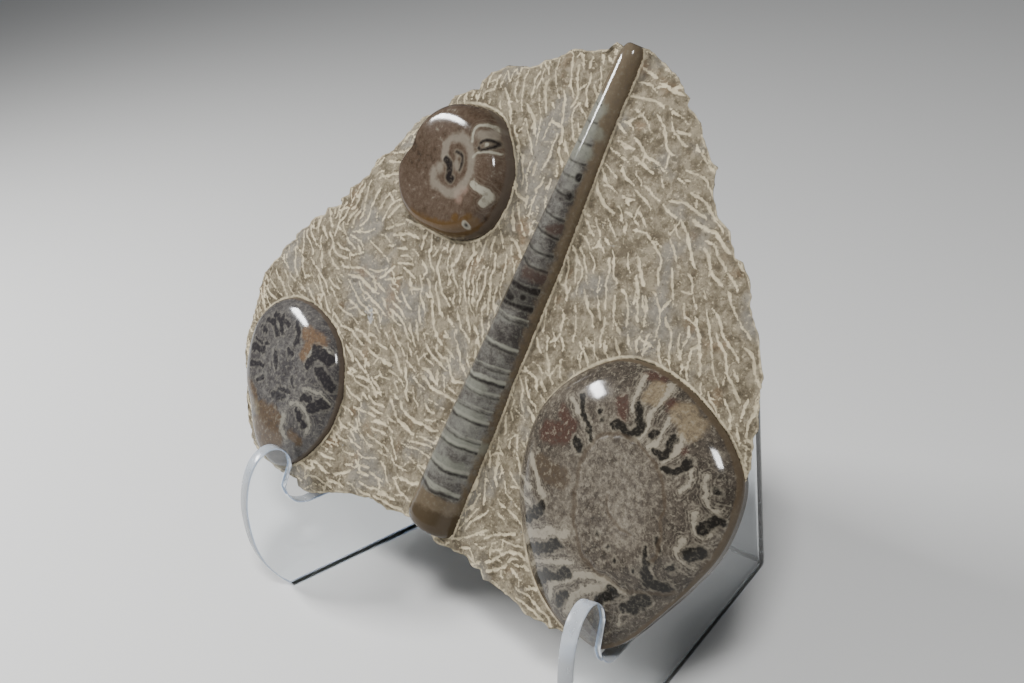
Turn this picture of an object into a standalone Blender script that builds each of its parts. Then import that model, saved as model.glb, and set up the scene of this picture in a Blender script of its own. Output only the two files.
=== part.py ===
"""Orthoceras plaque: four polished fossils in a chipped limestone slab, on a clear bent stand.

The slab leans back on the stand. Its face has its own flat coordinates: across to the right,
up along the face, and out towards the viewer, from a point midway between the stand's hooks.
Sizes are in millimetres and become metres when a mesh is made.
"""
import math

import bmesh
import bpy
from mathutils import Matrix, Vector, noise

MM = 0.001

# --- driving dimensions ---------------------------------------------------------------------
CLEARANCE = 0.3            # gap between pieces that touch

SLAB_LEAN = math.radians(27.4)      # the face leans back from upright
FACE_ORIGIN = (0.0, -120.0, 48.6)   # the face's own zero, in the stand's frame
SLAB_THICKNESS = 22.0
SLAB_CENTRE = (0.0, 92.0)           # what the undercut runs in towards
UNDERCUT = 19.0                     # how far the back stops short of the rim
UNDERCUT_AT_FOOT = 7.0
UNDERCUT_STEPS = [(22.0, 1.0), (12.0, 0.55), (4.0, 0.18)]   # depth, share of the undercut

GRID = 6.4                 # pitch of the chiselled face's facets
BROAD_RELIEF = 1.5
LUMP_RELIEF = 1.1
RIM_DROP = 1.2             # the face falls away to its chipped rim
RIM_WIDTH = 7.0

BLOCK_LOW = (-150.0, -15.0)         # a block that the relief is cut from, wider than the slab
BLOCK_HIGH = (127.0, 205.0)
BLOCK_DEPTH = 40.0
ABOVE_FACE = 6.0                    # higher than any lump of the face

SEAT_DEPTH = 3.0           # how deep each fossil is let into the slab
POCKET_TOP = 12.0

# Chipped outline of the slab's face, corner by corner, clockwise from the lower left.
LEFT_RIM = [(-125, 3), (-128.5, 6.5), (-131, 10), (-134, 14), (-136.5, 18.5), (-139, 25),
            (-141, 31.5), (-143, 36), (-145, 40.5), (-144.5, 53), (-144, 60), (-144.5, 71.5),
            (-144, 77.5)]
SHOULDER_RIM = [(-140.5, 82.5), (-136.5, 87), (-135.5, 90.5), (-130, 95.5), (-127.5, 97),
                (-127.5, 99.5), (-125, 102), (-119, 105.5), (-117.5, 108.5), (-111.5, 110.5),
                (-109.5, 114), (-101.5, 117), (-102, 119.5), (-98, 122), (-97.5, 125),
                (-88.5, 132), (-86, 139), (-80.5, 143), (-73, 150), (-69, 156.5), (-64, 160),
                (-59.5, 161.5), (-51.5, 166), (-49, 170.5), (-37, 175), (-36.5, 177.5),
                (-32, 182)]
TOP_RIM = [(-23.5, 185.5), (-17, 186.5), (-13, 186), (-8.5, 187.5), (-6.5, 189.5), (-2, 190.5),
           (6.5, 195), (14, 195.5), (21.5, 197), (24.5, 200), (30.5, 198), (33.5, 199),
           (40.5, 198.5), (50, 193.5), (54, 192), (62.5, 184)]
RIGHT_RIM = [(63, 181.5), (69.5, 176.5), (77.5, 164.5), (81.5, 162.5), (81.5, 156),
             (85.5, 147.5), (92, 143), (96.5, 135), (99.5, 134), (103, 130), (107, 124),
             (107, 121), (111.5, 114.5), (115.5, 104), (118, 99.5), (118.5, 94), (121.5, 83.5),
             (120.5, 80), (122, 70.5), (121, 62.5)]
LOWER_RIGHT_RIM = [(121, 54), (118, 45), (112, 29), (102, 15), (92, 2), (86, -4), (80, -6)]
FOOT_RIM = [(70, -7), (62, -8.5), (59, -9.5), (56.5, -8.5), (47.5, -8.5), (38.5, -5.5),
            (29, -4), (24, -4), (21.5, -1), (17, -1), (14, 1), (2.5, 0.5), (-4, 0.5),
            (-9, 2.5), (-17.5, 5), (-26.5, 5), (-35, 3.5), (-43.5, 5), (-60, 2), (-70, -1),
            (-80, -4.5), (-86, -5.5), (-91, -5.5), (-93, -2.5), (-109, -1.5), (-117, 0)]
SLAB_RIM = LEFT_RIM + SHOULDER_RIM + TOP_RIM + RIGHT_RIM + LOWER_RIGHT_RIM + FOOT_RIM

# Each coiled shell: a smooth closed outline through these points, counter-clockwise from the right.
LARGE_OUTLINE = [(122, 54), (121, 66), (114, 76), (103, 84), (90, 90), (76, 93), (63, 92),
                 (50, 85), (40, 76), (33, 65), (31, 52), (32, 38), (37, 22), (45, 9), (55, 0),
                 (68, -6), (81, -7), (92, 0), (103, 14), (112, 27), (119, 40)]
SMALL_OUTLINE = [(-74, 37), (-75, 47), (-79, 57), (-86, 65), (-97, 71), (-109, 73), (-119, 72),
                 (-129, 67), (-136, 59), (-138, 50), (-137, 40), (-134, 31), (-127, 22),
                 (-123, 12), (-118, 5), (-110, 1), (-101, 2), (-92, 6), (-83, 15), (-77, 25)]
GONIATITE_OUTLINE = [(-7, 139), (-8, 148), (-13, 157), (-20, 165), (-31, 168), (-43, 167),
                     (-52, 162), (-57, 155), (-57.5, 148), (-61, 144), (-64.5, 138), (-62, 130),
                     (-57, 123), (-48, 118), (-37, 116), (-26, 116), (-15, 121), (-9, 130)]
LARGE_HEIGHT = 12.0
SMALL_HEIGHT = 8.0
GONIATITE_HEIGHT = 10.0
LARGE_HOLLOW = 1.4         # the large shell's middle whorls lie a little lower
CREST = 2.6                # the larger, the flatter a shell's top
STEEP_FLANK = 0.55         # exponent of the flank: 0.5 is upright at the rim, 1 slopes evenly
GENTLE_FLANK = 1.05

# The orthoceras: a tapering half-round bar across the face.
CONE_FOOT = (-8.0, 6.4)
CONE_TIP = (35.2, 199.0)
CONE_HALF_WIDTH = (11.6, 4.4)       # at the foot and at the tip
CONE_TAPER = 1.4                    # exponent: the taper quickens towards the tip
CONE_RISE = 0.8                     # height over half-width
CONE_FOOT_ROUND = 5.0
CONE_TIP_ROUND = 6.0
CONE_STATIONS = 34
CONE_ARC = 12                       # facets across the bar

# The stand: one bent sheet, a back panel and two wings with hooks.
SHEET = 6.0
STAND_MIDDLE = -3.0                 # across, from the face's zero
PANEL_HALF_WIDTH = 67.5             # to the wings' outer faces, at the back
PANEL_BACK = 3.0                    # the panel's rear face, behind the wings' own zero
WING_SPLAY = math.radians(10.0)
BEND_RADIUS = 8.0                   # outside
BEND_FACETS = 7
FOOT_LENGTH = 135.0                 # forward along a wing
WING_LENGTH = 165.0                 # of the blank, before the profile trims it
SEAT_HEIGHT = 37.4
PANEL_TOP = 70.0                    # middle of the back panel
PANEL_DIP_HALF = 57.0
PANEL_DIP_ROUND = 10.0
PANEL_DIP_FACETS = 4
BEYOND = 5.0                        # how far a cutter runs past what it cuts
CUTTER_REACH = 160.0                # longer than the stand in any direction
WING_PEAK = (38.0, 138.0)           # forward and up
PEAK_ROUND = 3.0
BACK_ROUND = [(4.5, 85.0), (1.3, 79.0), (0.0, 74.0)]
HOOK_GAP = 6.5                      # from the face to the hooks' inner edges
HOOK_OUTER = [(141, 8), (146, 17), (149, 28), (149.5, 42), (147.5, 52), (144, 60),
              (139.5, 65.5), (133.5, 68), (128.5, 66.5), (125.4, 62)]
HOOK_TIP_HEIGHT = 57.0
HOOK_STEPS = 3                      # facets to each span of a curved edge
NOTCH_TOP_HEIGHT = 48.0
NOTCH_ROUND = [(128.6, 43.5), (125.6, 39.6), (121, 37.7)]

STONE = ("limestone", (0.53, 0.49, 0.41, 1.0), 0.75, 0.0)
CONE_SHELL = ("orthoceras_calcite", (0.42, 0.40, 0.37, 1.0), 0.18, 0.0)
LARGE_SHELL = ("large_shell_calcite", (0.44, 0.41, 0.37, 1.0), 0.22, 0.0)
SMALL_SHELL = ("small_shell_calcite", (0.40, 0.36, 0.32, 1.0), 0.25, 0.0)
GONIATITE_SHELL = ("goniatite_calcite", (0.36, 0.28, 0.20, 1.0), 0.15, 0.0)
ACRYLIC = ("clear_acrylic", (0.80, 0.86, 0.92, 0.30), 0.05, 0.0)


# --- helpers --------------------------------------------------------------------------------
def smooth_step(low, high, value):
    """Ease from 0 at low to 1 at high."""
    share = min(1.0, max(0.0, (value - low) / (high - low)))
    return share * share * (3.0 - 2.0 * share)


def spline_point(before, start, end, after, share):
    """A Catmull-Rom point between start and end."""
    square, cube = share * share, share ** 3
    weights = (-0.5 * cube + square - 0.5 * share, 1.5 * cube - 2.5 * square + 1.0,
               -1.5 * cube + 2.0 * square + 0.5 * share, 0.5 * cube - 0.5 * square)
    knots = (before, start, end, after)
    return tuple(sum(w * knot[axis] for w, knot in zip(weights, knots)) for axis in range(2))


def closed_spline(knots, per_span):
    """A smooth closed outline through the knots."""
    count = len(knots)
    return [spline_point(knots[i - 1], knots[i], knots[(i + 1) % count], knots[(i + 2) % count],
                         step / per_span)
            for i in range(count) for step in range(per_span)]


def open_spline(knots, per_span):
    """A smooth open line through the knots, ends included."""
    padded = [knots[0]] + list(knots) + [knots[-1]]
    line = [spline_point(*padded[i:i + 4], step / per_span)
            for i in range(len(knots) - 1) for step in range(per_span)]
    return line + [tuple(knots[-1])]


def centre_of(outline):
    """The middle of an outline's points."""
    return (sum(p[0] for p in outline) / len(outline), sum(p[1] for p in outline) / len(outline))


def grown(outline, amount):
    """An outline moved outwards by an amount, for one that runs counter-clockwise."""
    moved = []
    for i, (x, y) in enumerate(outline):
        before, after = outline[i - 1], outline[(i + 1) % len(outline)]
        along = Vector((after[0] - before[0], after[1] - before[1])).normalized()
        moved.append((x + along.y * amount, y - along.x * amount))
    return moved


def rim_distance(x, y):
    """Distance from a place on the face to the slab's rim."""
    place = Vector((x, y))
    nearest = 1e9
    for i, end in enumerate(SLAB_RIM):
        start = Vector(SLAB_RIM[i - 1])
        along = Vector(end) - start
        share = min(1.0, max(0.0, (place - start).dot(along) / along.length_squared))
        nearest = min(nearest, (start + along * share - place).length)
    return nearest


def material(look):
    """A Principled material from a name, a colour, a roughness and a metallic value."""
    name, colour, roughness, metallic = look
    made = bpy.data.materials.new(name)
    made.use_nodes = True
    shader = made.node_tree.nodes["Principled BSDF"]
    shader.inputs["Base Color"].default_value = colour[:3] + (1.0,)
    shader.inputs["Roughness"].default_value = roughness
    shader.inputs["Metallic"].default_value = metallic
    if colour[3] < 1.0:
        shader.inputs["Transmission Weight"].default_value = 1.0 - colour[3]
    return made


def add_mesh(name, mesh_edit, collection, parent, look=None):
    """Link a finished bmesh as an object, with its millimetres turned to metres."""
    bmesh.ops.recalc_face_normals(mesh_edit, faces=mesh_edit.faces)
    bmesh.ops.scale(mesh_edit, vec=(MM, MM, MM), verts=mesh_edit.verts)
    mesh = bpy.data.meshes.new(name)
    mesh_edit.to_mesh(mesh)
    mesh_edit.free()
    made = bpy.data.objects.new(name, mesh)
    collection.objects.link(made)
    made.parent = parent
    if look:
        mesh.materials.append(material(look))
    else:
        made.hide_render = True
        made.display_type = "WIRE"
    return made


def loft(rings, pole=None):
    """A closed skin through rings of equal length, from a flat first ring to a last ring or pole."""
    mesh_edit = bmesh.new()
    rows = [[mesh_edit.verts.new(point) for point in ring] for ring in rings]
    count = len(rows[0])
    for lower, upper in zip(rows, rows[1:]):
        for i in range(count):
            following = (i + 1) % count
            mesh_edit.faces.new((lower[i], lower[following], upper[following], upper[i]))
    mesh_edit.faces.new(reversed(rows[0]))
    if pole is None:
        mesh_edit.faces.new(rows[-1])
    else:
        top = mesh_edit.verts.new(pole)
        for i in range(count):
            mesh_edit.faces.new((rows[-1][i], rows[-1][(i + 1) % count], top))
    bmesh.ops.triangulate(mesh_edit, faces=mesh_edit.faces)
    return mesh_edit


def flat_ring(outline, height):
    """An outline at one height."""
    return [(x, y, height) for x, y in outline]


def boolean(target, cutter, operation):
    """Cut, join or trim one object by another."""
    step = target.modifiers.new(operation.lower() + "_" + cutter.name, "BOOLEAN")
    step.operation = operation
    step.object = cutter
    step.solver = "EXACT"


# --- the slab -------------------------------------------------------------------------------
def face_relief(x, y):
    """Height of the chiselled face at a place on it."""
    broad = BROAD_RELIEF * noise.noise(Vector((x / 36, y / 36, 3.1)))
    lumps = LUMP_RELIEF * noise.noise(Vector((x / 12, y / 15, 8.7)))
    knapped = smooth_step(50, 75, x) * smooth_step(80, 110, y)
    width = RIM_WIDTH * (1.0 + 0.7 * knapped)
    drop = RIM_DROP * (1.0 + 0.5 * knapped)
    return broad + lumps - drop * (1.0 - smooth_step(0.0, width, rim_distance(x, y)))


def relief_block(collection, parent):
    """A block larger than the slab whose top carries the chiselled relief."""
    (low_x, low_y), (high_x, high_y) = BLOCK_LOW, BLOCK_HIGH
    columns = round((high_x - low_x) / GRID)
    rows = round((high_y - low_y) / GRID)
    block = bmesh.new()
    bmesh.ops.create_grid(block, x_segments=columns, y_segments=rows, size=0.5)
    for vert in block.verts:
        x = low_x + (vert.co.x + 0.5) * (high_x - low_x)
        y = low_y + (vert.co.y + 0.5) * (high_y - low_y)
        vert.co = (x, y, face_relief(x, y))
    bmesh.ops.triangulate(block, faces=block.faces)
    rim_edges = [edge for edge in block.edges if edge.is_boundary]
    skirt = bmesh.ops.extrude_edge_only(block, edges=rim_edges)["geom"]
    for vert in (item for item in skirt if isinstance(item, bmesh.types.BMVert)):
        vert.co.z = -BLOCK_DEPTH
    bmesh.ops.holes_fill(block, edges=[edge for edge in block.edges if edge.is_boundary])
    return add_mesh("relief_block", block, collection, parent)


def undercut_ring(depth, share):
    """The rim's outline at a depth, drawn in by a share of the undercut."""
    ring = []
    middle = Vector(SLAB_CENTRE)
    for x, y in SLAB_RIM:
        full = UNDERCUT_AT_FOOT + (UNDERCUT - UNDERCUT_AT_FOOT) * smooth_step(8, 45, y)
        chip = 1.0 + 0.35 * noise.noise(Vector((x / 9, y / 9, depth))) * smooth_step(8, 45, y)
        inward = (middle - Vector((x, y))).normalized() * full * share * chip
        ring.append((x + inward.x, y + inward.y, -depth))
    return ring


def make_slab(collection, cutters, parent):
    """The chipped slab: a prism with an undercut rim, trimmed by the relief of its face."""
    rings = [undercut_ring(depth, share) for depth, share in UNDERCUT_STEPS]
    rings += [flat_ring(SLAB_RIM, 0.0), flat_ring(SLAB_RIM, ABOVE_FACE)]
    slab = add_mesh("matrix_slab", loft(rings), collection, parent, STONE)
    boolean(slab, relief_block(cutters, parent), "INTERSECT")
    return slab


# --- the fossils ----------------------------------------------------------------------------
def dome_rings(outline, height, hollow, flank_at, ring_count):
    """Rings of a polished shell, from its flat bed up to its crest."""
    middle = centre_of(outline)
    reach = sum(math.dist(p, middle) for p in outline) / len(outline)
    rings = [flat_ring(outline, -SEAT_DEPTH)]
    for step in range(ring_count):
        share = math.cos(0.5 * math.pi * step / ring_count)
        ring = []
        for x, y in outline:
            angle = math.atan2(y - middle[1], x - middle[0])
            own = share ** 2
            out_x = own * (x - middle[0]) + (1.0 - own) * reach * math.cos(angle)
            out_y = own * (y - middle[1]) + (1.0 - own) * reach * math.sin(angle)
            rise = height * (1.0 - share ** CREST) ** flank_at(angle)
            rise -= hollow * (1.0 - smooth_step(0.0, 0.62, share))
            ring.append((middle[0] + share * out_x, middle[1] + share * out_y, rise))
        rings.append(ring)
    return rings, (middle[0], middle[1], height - hollow)


def steep_flank(_angle):
    """A flank that rises steeply all round."""
    return STEEP_FLANK


def flank_gentle_at_foot(angle):
    """A flank that is steep above and gentle below, where the hook passes over it."""
    toward_foot = 0.5 - 0.5 * math.sin(angle)
    return STEEP_FLANK + (GENTLE_FLANK - STEEP_FLANK) * smooth_step(0.62, 0.95, toward_foot)


def make_pocket(slab, name, outline, cutters, parent):
    """Let a fossil's bed into the slab, with clearance all round and below."""
    wide = grown(outline, CLEARANCE)
    shape = loft([flat_ring(wide, -SEAT_DEPTH - CLEARANCE), flat_ring(wide, POCKET_TOP)])
    boolean(slab, add_mesh(name + "_pocket", shape, cutters, parent), "DIFFERENCE")


def make_shell(slab, name, look, knots, per_span, height, hollow, flank_at, ring_count,
               collection, cutters, parent):
    """One coiled shell and its pocket."""
    outline = closed_spline(knots, per_span)
    rings, pole = dome_rings(outline, height, hollow, flank_at, ring_count)
    add_mesh(name, loft(rings, pole), collection, parent, look)
    make_pocket(slab, name, outline, cutters, parent)


def cone_half_width(share):
    """Half-width of the orthoceras at a share of its length, its ends rounded off."""
    foot, tip = CONE_HALF_WIDTH
    plain = foot + (tip - foot) * share ** CONE_TAPER
    length = math.dist(CONE_FOOT, CONE_TIP)
    from_foot = min(1.0, share * length / CONE_FOOT_ROUND)
    from_tip = min(1.0, (1.0 - share) * length / CONE_TIP_ROUND)
    return plain * (0.72 + 0.28 * math.sqrt(1.0 - (1.0 - from_foot) ** 2)) \
        * (0.45 + 0.55 * math.sqrt(1.0 - (1.0 - from_tip) ** 2))


def make_orthoceras(slab, collection, cutters, parent):
    """The long tapering bar, its bed let into the slab."""
    foot, tip = Vector(CONE_FOOT), Vector(CONE_TIP)
    along = (tip - foot).normalized()
    across = Vector((along.y, -along.x))
    rings = []
    left_side, right_side = [], []
    for step in range(CONE_STATIONS):
        share = 0.5 - 0.5 * math.cos(math.pi * step / (CONE_STATIONS - 1))
        share = 0.35 * share + 0.65 * step / (CONE_STATIONS - 1)
        middle = foot.lerp(tip, share)
        half = cone_half_width(share)
        edges = middle + across * half, middle - across * half
        right_side.append(tuple(edges[0]))
        left_side.append(tuple(edges[1]))
        ring = [(*edges[1], -SEAT_DEPTH), (*edges[0], -SEAT_DEPTH)]
        for facet in range(CONE_ARC + 1):
            turn = math.pi * facet / CONE_ARC
            place = middle + across * half * math.cos(turn)
            ring.append((*place, CONE_RISE * half * math.sin(turn)))
        rings.append(ring)
    add_mesh("orthoceras", loft(rings), collection, parent, CONE_SHELL)
    make_pocket(slab, "orthoceras", right_side + left_side[::-1], cutters, parent)


# --- the stand ------------------------------------------------------------------------------
def leaning_edge(offset, height):
    """Forward distance along a wing of a line parallel to the slab's face, at a height."""
    _, face_y, face_z = FACE_ORIGIN
    forward = -face_y + offset / math.cos(SLAB_LEAN) + (face_z - height) * math.tan(SLAB_LEAN)
    return forward / math.cos(WING_SPLAY)


def wing_profile():
    """Side outline of a wing: forward along the wing and up."""
    behind = -SLAB_THICKNESS - CLEARANCE
    hook = open_spline([(FOOT_LENGTH, 0.0)] + HOOK_OUTER
                       + [(leaning_edge(HOOK_GAP, HOOK_TIP_HEIGHT), HOOK_TIP_HEIGHT)],
                       HOOK_STEPS)
    notch = open_spline([(leaning_edge(HOOK_GAP, NOTCH_TOP_HEIGHT), NOTCH_TOP_HEIGHT)]
                        + NOTCH_ROUND, HOOK_STEPS)
    peak_x, peak_z = WING_PEAK
    rest_top = leaning_edge(behind, peak_z)
    crown = peak_z + PEAK_ROUND
    rounded_peak = open_spline([(rest_top, peak_z), (rest_top - PEAK_ROUND, crown),
                                (peak_x + PEAK_ROUND, crown), (peak_x, peak_z)], HOOK_STEPS)
    back_round = open_spline(BACK_ROUND, HOOK_STEPS)
    behind_panel = -PANEL_BACK - BEYOND
    rest_foot = [(leaning_edge(behind, SEAT_HEIGHT), SEAT_HEIGHT)]
    below = [(behind_panel, -BEYOND), (FOOT_LENGTH, -BEYOND)]
    return below + hook + notch + rest_foot + rounded_peak + back_round \
        + [(behind_panel, PANEL_TOP)]


def sheet_plan():
    """The bent sheet seen from above, as a closed outline in the stand's frame."""
    turn = 0.5 * math.pi - WING_SPLAY
    tangent = BEND_RADIUS * math.tan(0.5 * turn)
    centre = (PANEL_HALF_WIDTH - tangent, -BEND_RADIUS)
    forward = (math.sin(WING_SPLAY), -math.cos(WING_SPLAY))

    def half(radius):
        """Right half of one face of the sheet, from the middle of the panel to the wing's end."""
        line = []
        for step in range(BEND_FACETS + 1):
            angle = 0.5 * math.pi - turn * step / BEND_FACETS
            line.append((centre[0] + radius * math.cos(angle),
                         centre[1] + radius * math.sin(angle)))
        end = line[-1]
        return line + [(end[0] + WING_LENGTH * forward[0], end[1] + WING_LENGTH * forward[1])]

    outer, inner = half(BEND_RADIUS), half(BEND_RADIUS - SHEET)
    right = outer + inner[::-1]
    left = [(-x, y) for x, y in inner] + [(-x, y) for x, y in reversed(outer)]
    return [(STAND_MIDDLE + x, PANEL_BACK + y) for x, y in right + left]


def prism(name, outline, low, high, turn, collection, parent, look=None):
    """A flat filled curve drawn out between two levels, then turned into place as a mesh."""
    curve = bpy.data.curves.new(name + "_outline", "CURVE")
    curve.dimensions = "2D"
    curve.fill_mode = "BOTH"
    curve.extrude = 0.5 * (high - low)
    line = curve.splines.new("POLY")
    line.points.add(len(outline) - 1)
    for point, (x, y) in zip(line.points, outline):
        point.co = (x, y, 0.0, 1.0)
    line.use_cyclic_u = True
    guide = bpy.data.objects.new(name + "_outline", curve)
    collection.objects.link(guide)
    solid = bpy.data.meshes.new_from_object(guide.evaluated_get(bpy.context.evaluated_depsgraph_get()))
    bpy.data.objects.remove(guide)
    bpy.data.curves.remove(curve)
    shape = bmesh.new()
    shape.from_mesh(solid)
    bpy.data.meshes.remove(solid)
    bmesh.ops.remove_doubles(shape, verts=shape.verts, dist=0.01)
    bmesh.ops.transform(shape, matrix=turn @ Matrix.Translation((0, 0, 0.5 * (low + high))),
                        verts=shape.verts)
    return add_mesh(name, shape, collection, parent, look)


def make_stand(collection, cutters, parent):
    """The clear stand: a bent sheet trimmed to the wings' profile, its panel dipped."""
    stand = prism("acrylic_stand", sheet_plan(), 0.0, CUTTER_REACH, Matrix.Identity(4),
                  collection, parent, ACRYLIC)
    # The profile is drawn forward and up, and stands across the stand.
    across = Matrix(((0, 0, 1, 0), (-1, 0, 0, 0), (0, 1, 0, 0), (0, 0, 0, 1)))
    side = [(forward * math.cos(WING_SPLAY), up) for forward, up in wing_profile()]
    trim = prism("wing_profile", side, -CUTTER_REACH, CUTTER_REACH, across, cutters, parent)
    boolean(stand, trim, "INTERSECT")
    dip = [(STAND_MIDDLE + PANEL_DIP_HALF, CUTTER_REACH),
           (STAND_MIDDLE - PANEL_DIP_HALF, CUTTER_REACH)]
    for side_sign, start in ((-1, math.pi), (1, 1.5 * math.pi)):
        for step in range(PANEL_DIP_FACETS + 1):
            angle = start + 0.5 * math.pi * step / PANEL_DIP_FACETS
            dip.append((STAND_MIDDLE + side_sign * (PANEL_DIP_HALF - PANEL_DIP_ROUND)
                        + PANEL_DIP_ROUND * math.cos(angle),
                        PANEL_TOP + PANEL_DIP_ROUND * (1.0 + math.sin(angle))))
    upright = Matrix.Rotation(0.5 * math.pi, 4, "X")
    dip_cutter = prism("panel_dip", dip, -PANEL_BACK - BEYOND, SHEET + BEYOND, upright, cutters,
                       parent)
    boolean(stand, dip_cutter, "DIFFERENCE")


# --- the whole ------------------------------------------------------------------------------
def clear_scene():
    """Start from an empty scene."""
    for item in list(bpy.data.objects):
        bpy.data.objects.remove(item)


def new_collection(name):
    """A collection in the scene."""
    made = bpy.data.collections.new(name)
    bpy.context.scene.collection.children.link(made)
    return made


def new_empty(name, collection, parent=None):
    """An empty that carries other objects."""
    made = bpy.data.objects.new(name, None)
    collection.objects.link(made)
    made.parent = parent
    return made


def centre_over_origin(root, collection):
    """Move the whole so that the middle of its box stands over the origin."""
    graph = bpy.context.evaluated_depsgraph_get()
    corners = []
    for item in collection.objects:
        if item.type == "MESH":
            ready = item.evaluated_get(graph)
            corners += [ready.matrix_world @ vert.co for vert in ready.data.vertices]
    middle = [0.5 * (min(c[axis] for c in corners) + max(c[axis] for c in corners))
              for axis in range(2)]
    root.location = (-middle[0], -middle[1], -min(c.z for c in corners))


def build():
    """Make the slab, its fossils and the stand."""
    clear_scene()
    parts = new_collection("orthoceras_plaque")
    cutters = new_collection("cutters")
    root = new_empty("plaque_on_stand", parts)
    face = new_empty("slab_face", parts, root)
    face.location = Vector(FACE_ORIGIN) * MM
    face.rotation_euler = (0.5 * math.pi - SLAB_LEAN, 0.0, 0.0)
    slab = make_slab(parts, cutters, face)
    make_orthoceras(slab, parts, cutters, face)
    make_shell(slab, "ammonite_large", LARGE_SHELL, LARGE_OUTLINE, 3, LARGE_HEIGHT, LARGE_HOLLOW,
               flank_gentle_at_foot, 9, parts, cutters, face)
    make_shell(slab, "ammonite_small", SMALL_SHELL, SMALL_OUTLINE, 3, SMALL_HEIGHT, 0.0,
               steep_flank, 8, parts, cutters, face)
    make_shell(slab, "goniatite", GONIATITE_SHELL, GONIATITE_OUTLINE, 3, GONIATITE_HEIGHT, 0.0,
               steep_flank, 8, parts, cutters, face)
    make_stand(parts, cutters, root)
    bpy.context.view_layer.update()
    centre_over_origin(root, parts)


build()
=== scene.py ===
"""Orthoceras plaque: polished fossils in a chiselled limestone slab, on a clear bent stand.

Shapes are drawn in millimetres. Those on the slab use the face's own plane: across to the right,
up along the face, and out of it. They become metres in the object's frame when a mesh is made.
"""
import logging
import math
import random
from dataclasses import dataclass
from enum import Enum
from typing import Callable, NamedTuple, Protocol

import bmesh
import bpy
import numpy as np
from mathutils import Matrix, Vector, kdtree, noise
from mathutils.geometry import delaunay_2d_cdt


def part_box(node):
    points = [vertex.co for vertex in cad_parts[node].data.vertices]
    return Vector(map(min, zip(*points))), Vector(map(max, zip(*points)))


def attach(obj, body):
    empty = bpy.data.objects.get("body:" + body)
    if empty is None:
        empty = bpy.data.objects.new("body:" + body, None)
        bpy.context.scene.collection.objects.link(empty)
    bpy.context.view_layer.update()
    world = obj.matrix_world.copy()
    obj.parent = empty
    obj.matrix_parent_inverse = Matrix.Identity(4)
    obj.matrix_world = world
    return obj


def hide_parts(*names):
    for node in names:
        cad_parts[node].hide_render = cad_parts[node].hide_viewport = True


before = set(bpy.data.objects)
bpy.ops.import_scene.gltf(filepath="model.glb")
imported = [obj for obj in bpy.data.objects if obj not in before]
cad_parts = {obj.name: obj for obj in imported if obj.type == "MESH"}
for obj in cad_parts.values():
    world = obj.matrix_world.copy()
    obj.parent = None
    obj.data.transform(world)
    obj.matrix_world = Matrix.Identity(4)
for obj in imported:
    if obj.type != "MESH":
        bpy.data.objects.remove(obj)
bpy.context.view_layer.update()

LOG = logging.getLogger("orthoceras_plaque")
MM = 0.001
SHARP = math.radians(50.0)
OUTSIDE = -3.0
Point = tuple[float, float]
Colour = tuple[float, float, float]
Place = tuple[float, float, float]
Faces = list[tuple[int, ...]]


# --- curves and fields ----------------------------------------------------------------------
def smooth_step(low: float, high: float, value: np.ndarray) -> np.ndarray:
    """Ease from 0 at low to 1 at high.

    Args:
        low: Value where the step starts.
        high: Value where the step ends.
        value: Values to ease.

    Returns:
        Shares from 0 to 1.
    """
    share = np.clip((np.asarray(value, float) - low) / (high - low), 0.0, 1.0)
    return share * share * (3.0 - 2.0 * share)


def spline(knots: list[Point], per_span: int, closed: bool) -> np.ndarray:
    """A Catmull-Rom line through knots.

    Args:
        knots: Points the line passes through.
        per_span: Steps between two knots.
        closed: Whether the line returns to its start.

    Returns:
        The line's points, one row each.
    """
    if closed:
        around = [knots[-1], *knots, knots[0], knots[1]]
    else:
        around = [knots[0], *knots, knots[-1]]
    places = np.array(around, float)
    line = []
    for before, start, end, after in zip(places, places[1:], places[2:], places[3:]):
        for step in range(per_span):
            t = step / per_span
            line.append(0.5 * (2.0 * start + (end - before) * t
                               + (2.0 * before - 5.0 * start + 4.0 * end - after) * t * t
                               + (3.0 * start - before - 3.0 * end + after) * t ** 3))
    if not closed:
        line.append(places[-1])
    return np.array(line)


def inside(places: np.ndarray, outline: np.ndarray) -> np.ndarray:
    """Which places lie inside a closed outline.

    Args:
        places: Places to test, one row each.
        outline: Corners of the outline in order.

    Returns:
        A truth value for each place.
    """
    x, y = places[:, 0], places[:, 1]
    hit = np.zeros(len(places), bool)
    for (x0, y0), (x1, y1) in zip(outline, np.roll(outline, -1, axis=0)):
        if y0 == y1:
            continue
        crossing = (y0 > y) != (y1 > y)
        hit ^= crossing & (x < (x1 - x0) * (y - y0) / (y1 - y0) + x0)
    return hit


def line_distance(places: np.ndarray, line: np.ndarray, start: float = 0.0,
                  end: float = 0.0) -> np.ndarray:
    """Distance from places to a line, less the line's half-width there.

    Args:
        places: Places to measure from, one row each.
        line: The line's points in order.
        start: Half-width at the line's start.
        end: Half-width at its end.

    Returns:
        Distances, below zero within the line's width.
    """
    nearest = np.full(len(places), 1e9)
    spans = max(1, len(line) - 1)
    for i, (a, b) in enumerate(zip(line, line[1:])):
        along = b - a
        share = np.clip((places - a) @ along / max(1e-9, along @ along), 0.0, 1.0)
        gap = np.hypot(*(places - a - share[:, None] * along).T)
        nearest = np.minimum(nearest, gap - start - (end - start) * (i + share) / spans)
    return nearest


def outline_distance(places: np.ndarray, outline: np.ndarray) -> np.ndarray:
    """Signed distance to a closed outline, below zero inside it.

    Args:
        places: Places to measure from, one row each.
        outline: Corners of the outline in order.

    Returns:
        Signed distances.
    """
    gap = line_distance(places, np.vstack([outline, outline[:1]]))
    return np.where(inside(places, outline), -gap, gap)


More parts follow.
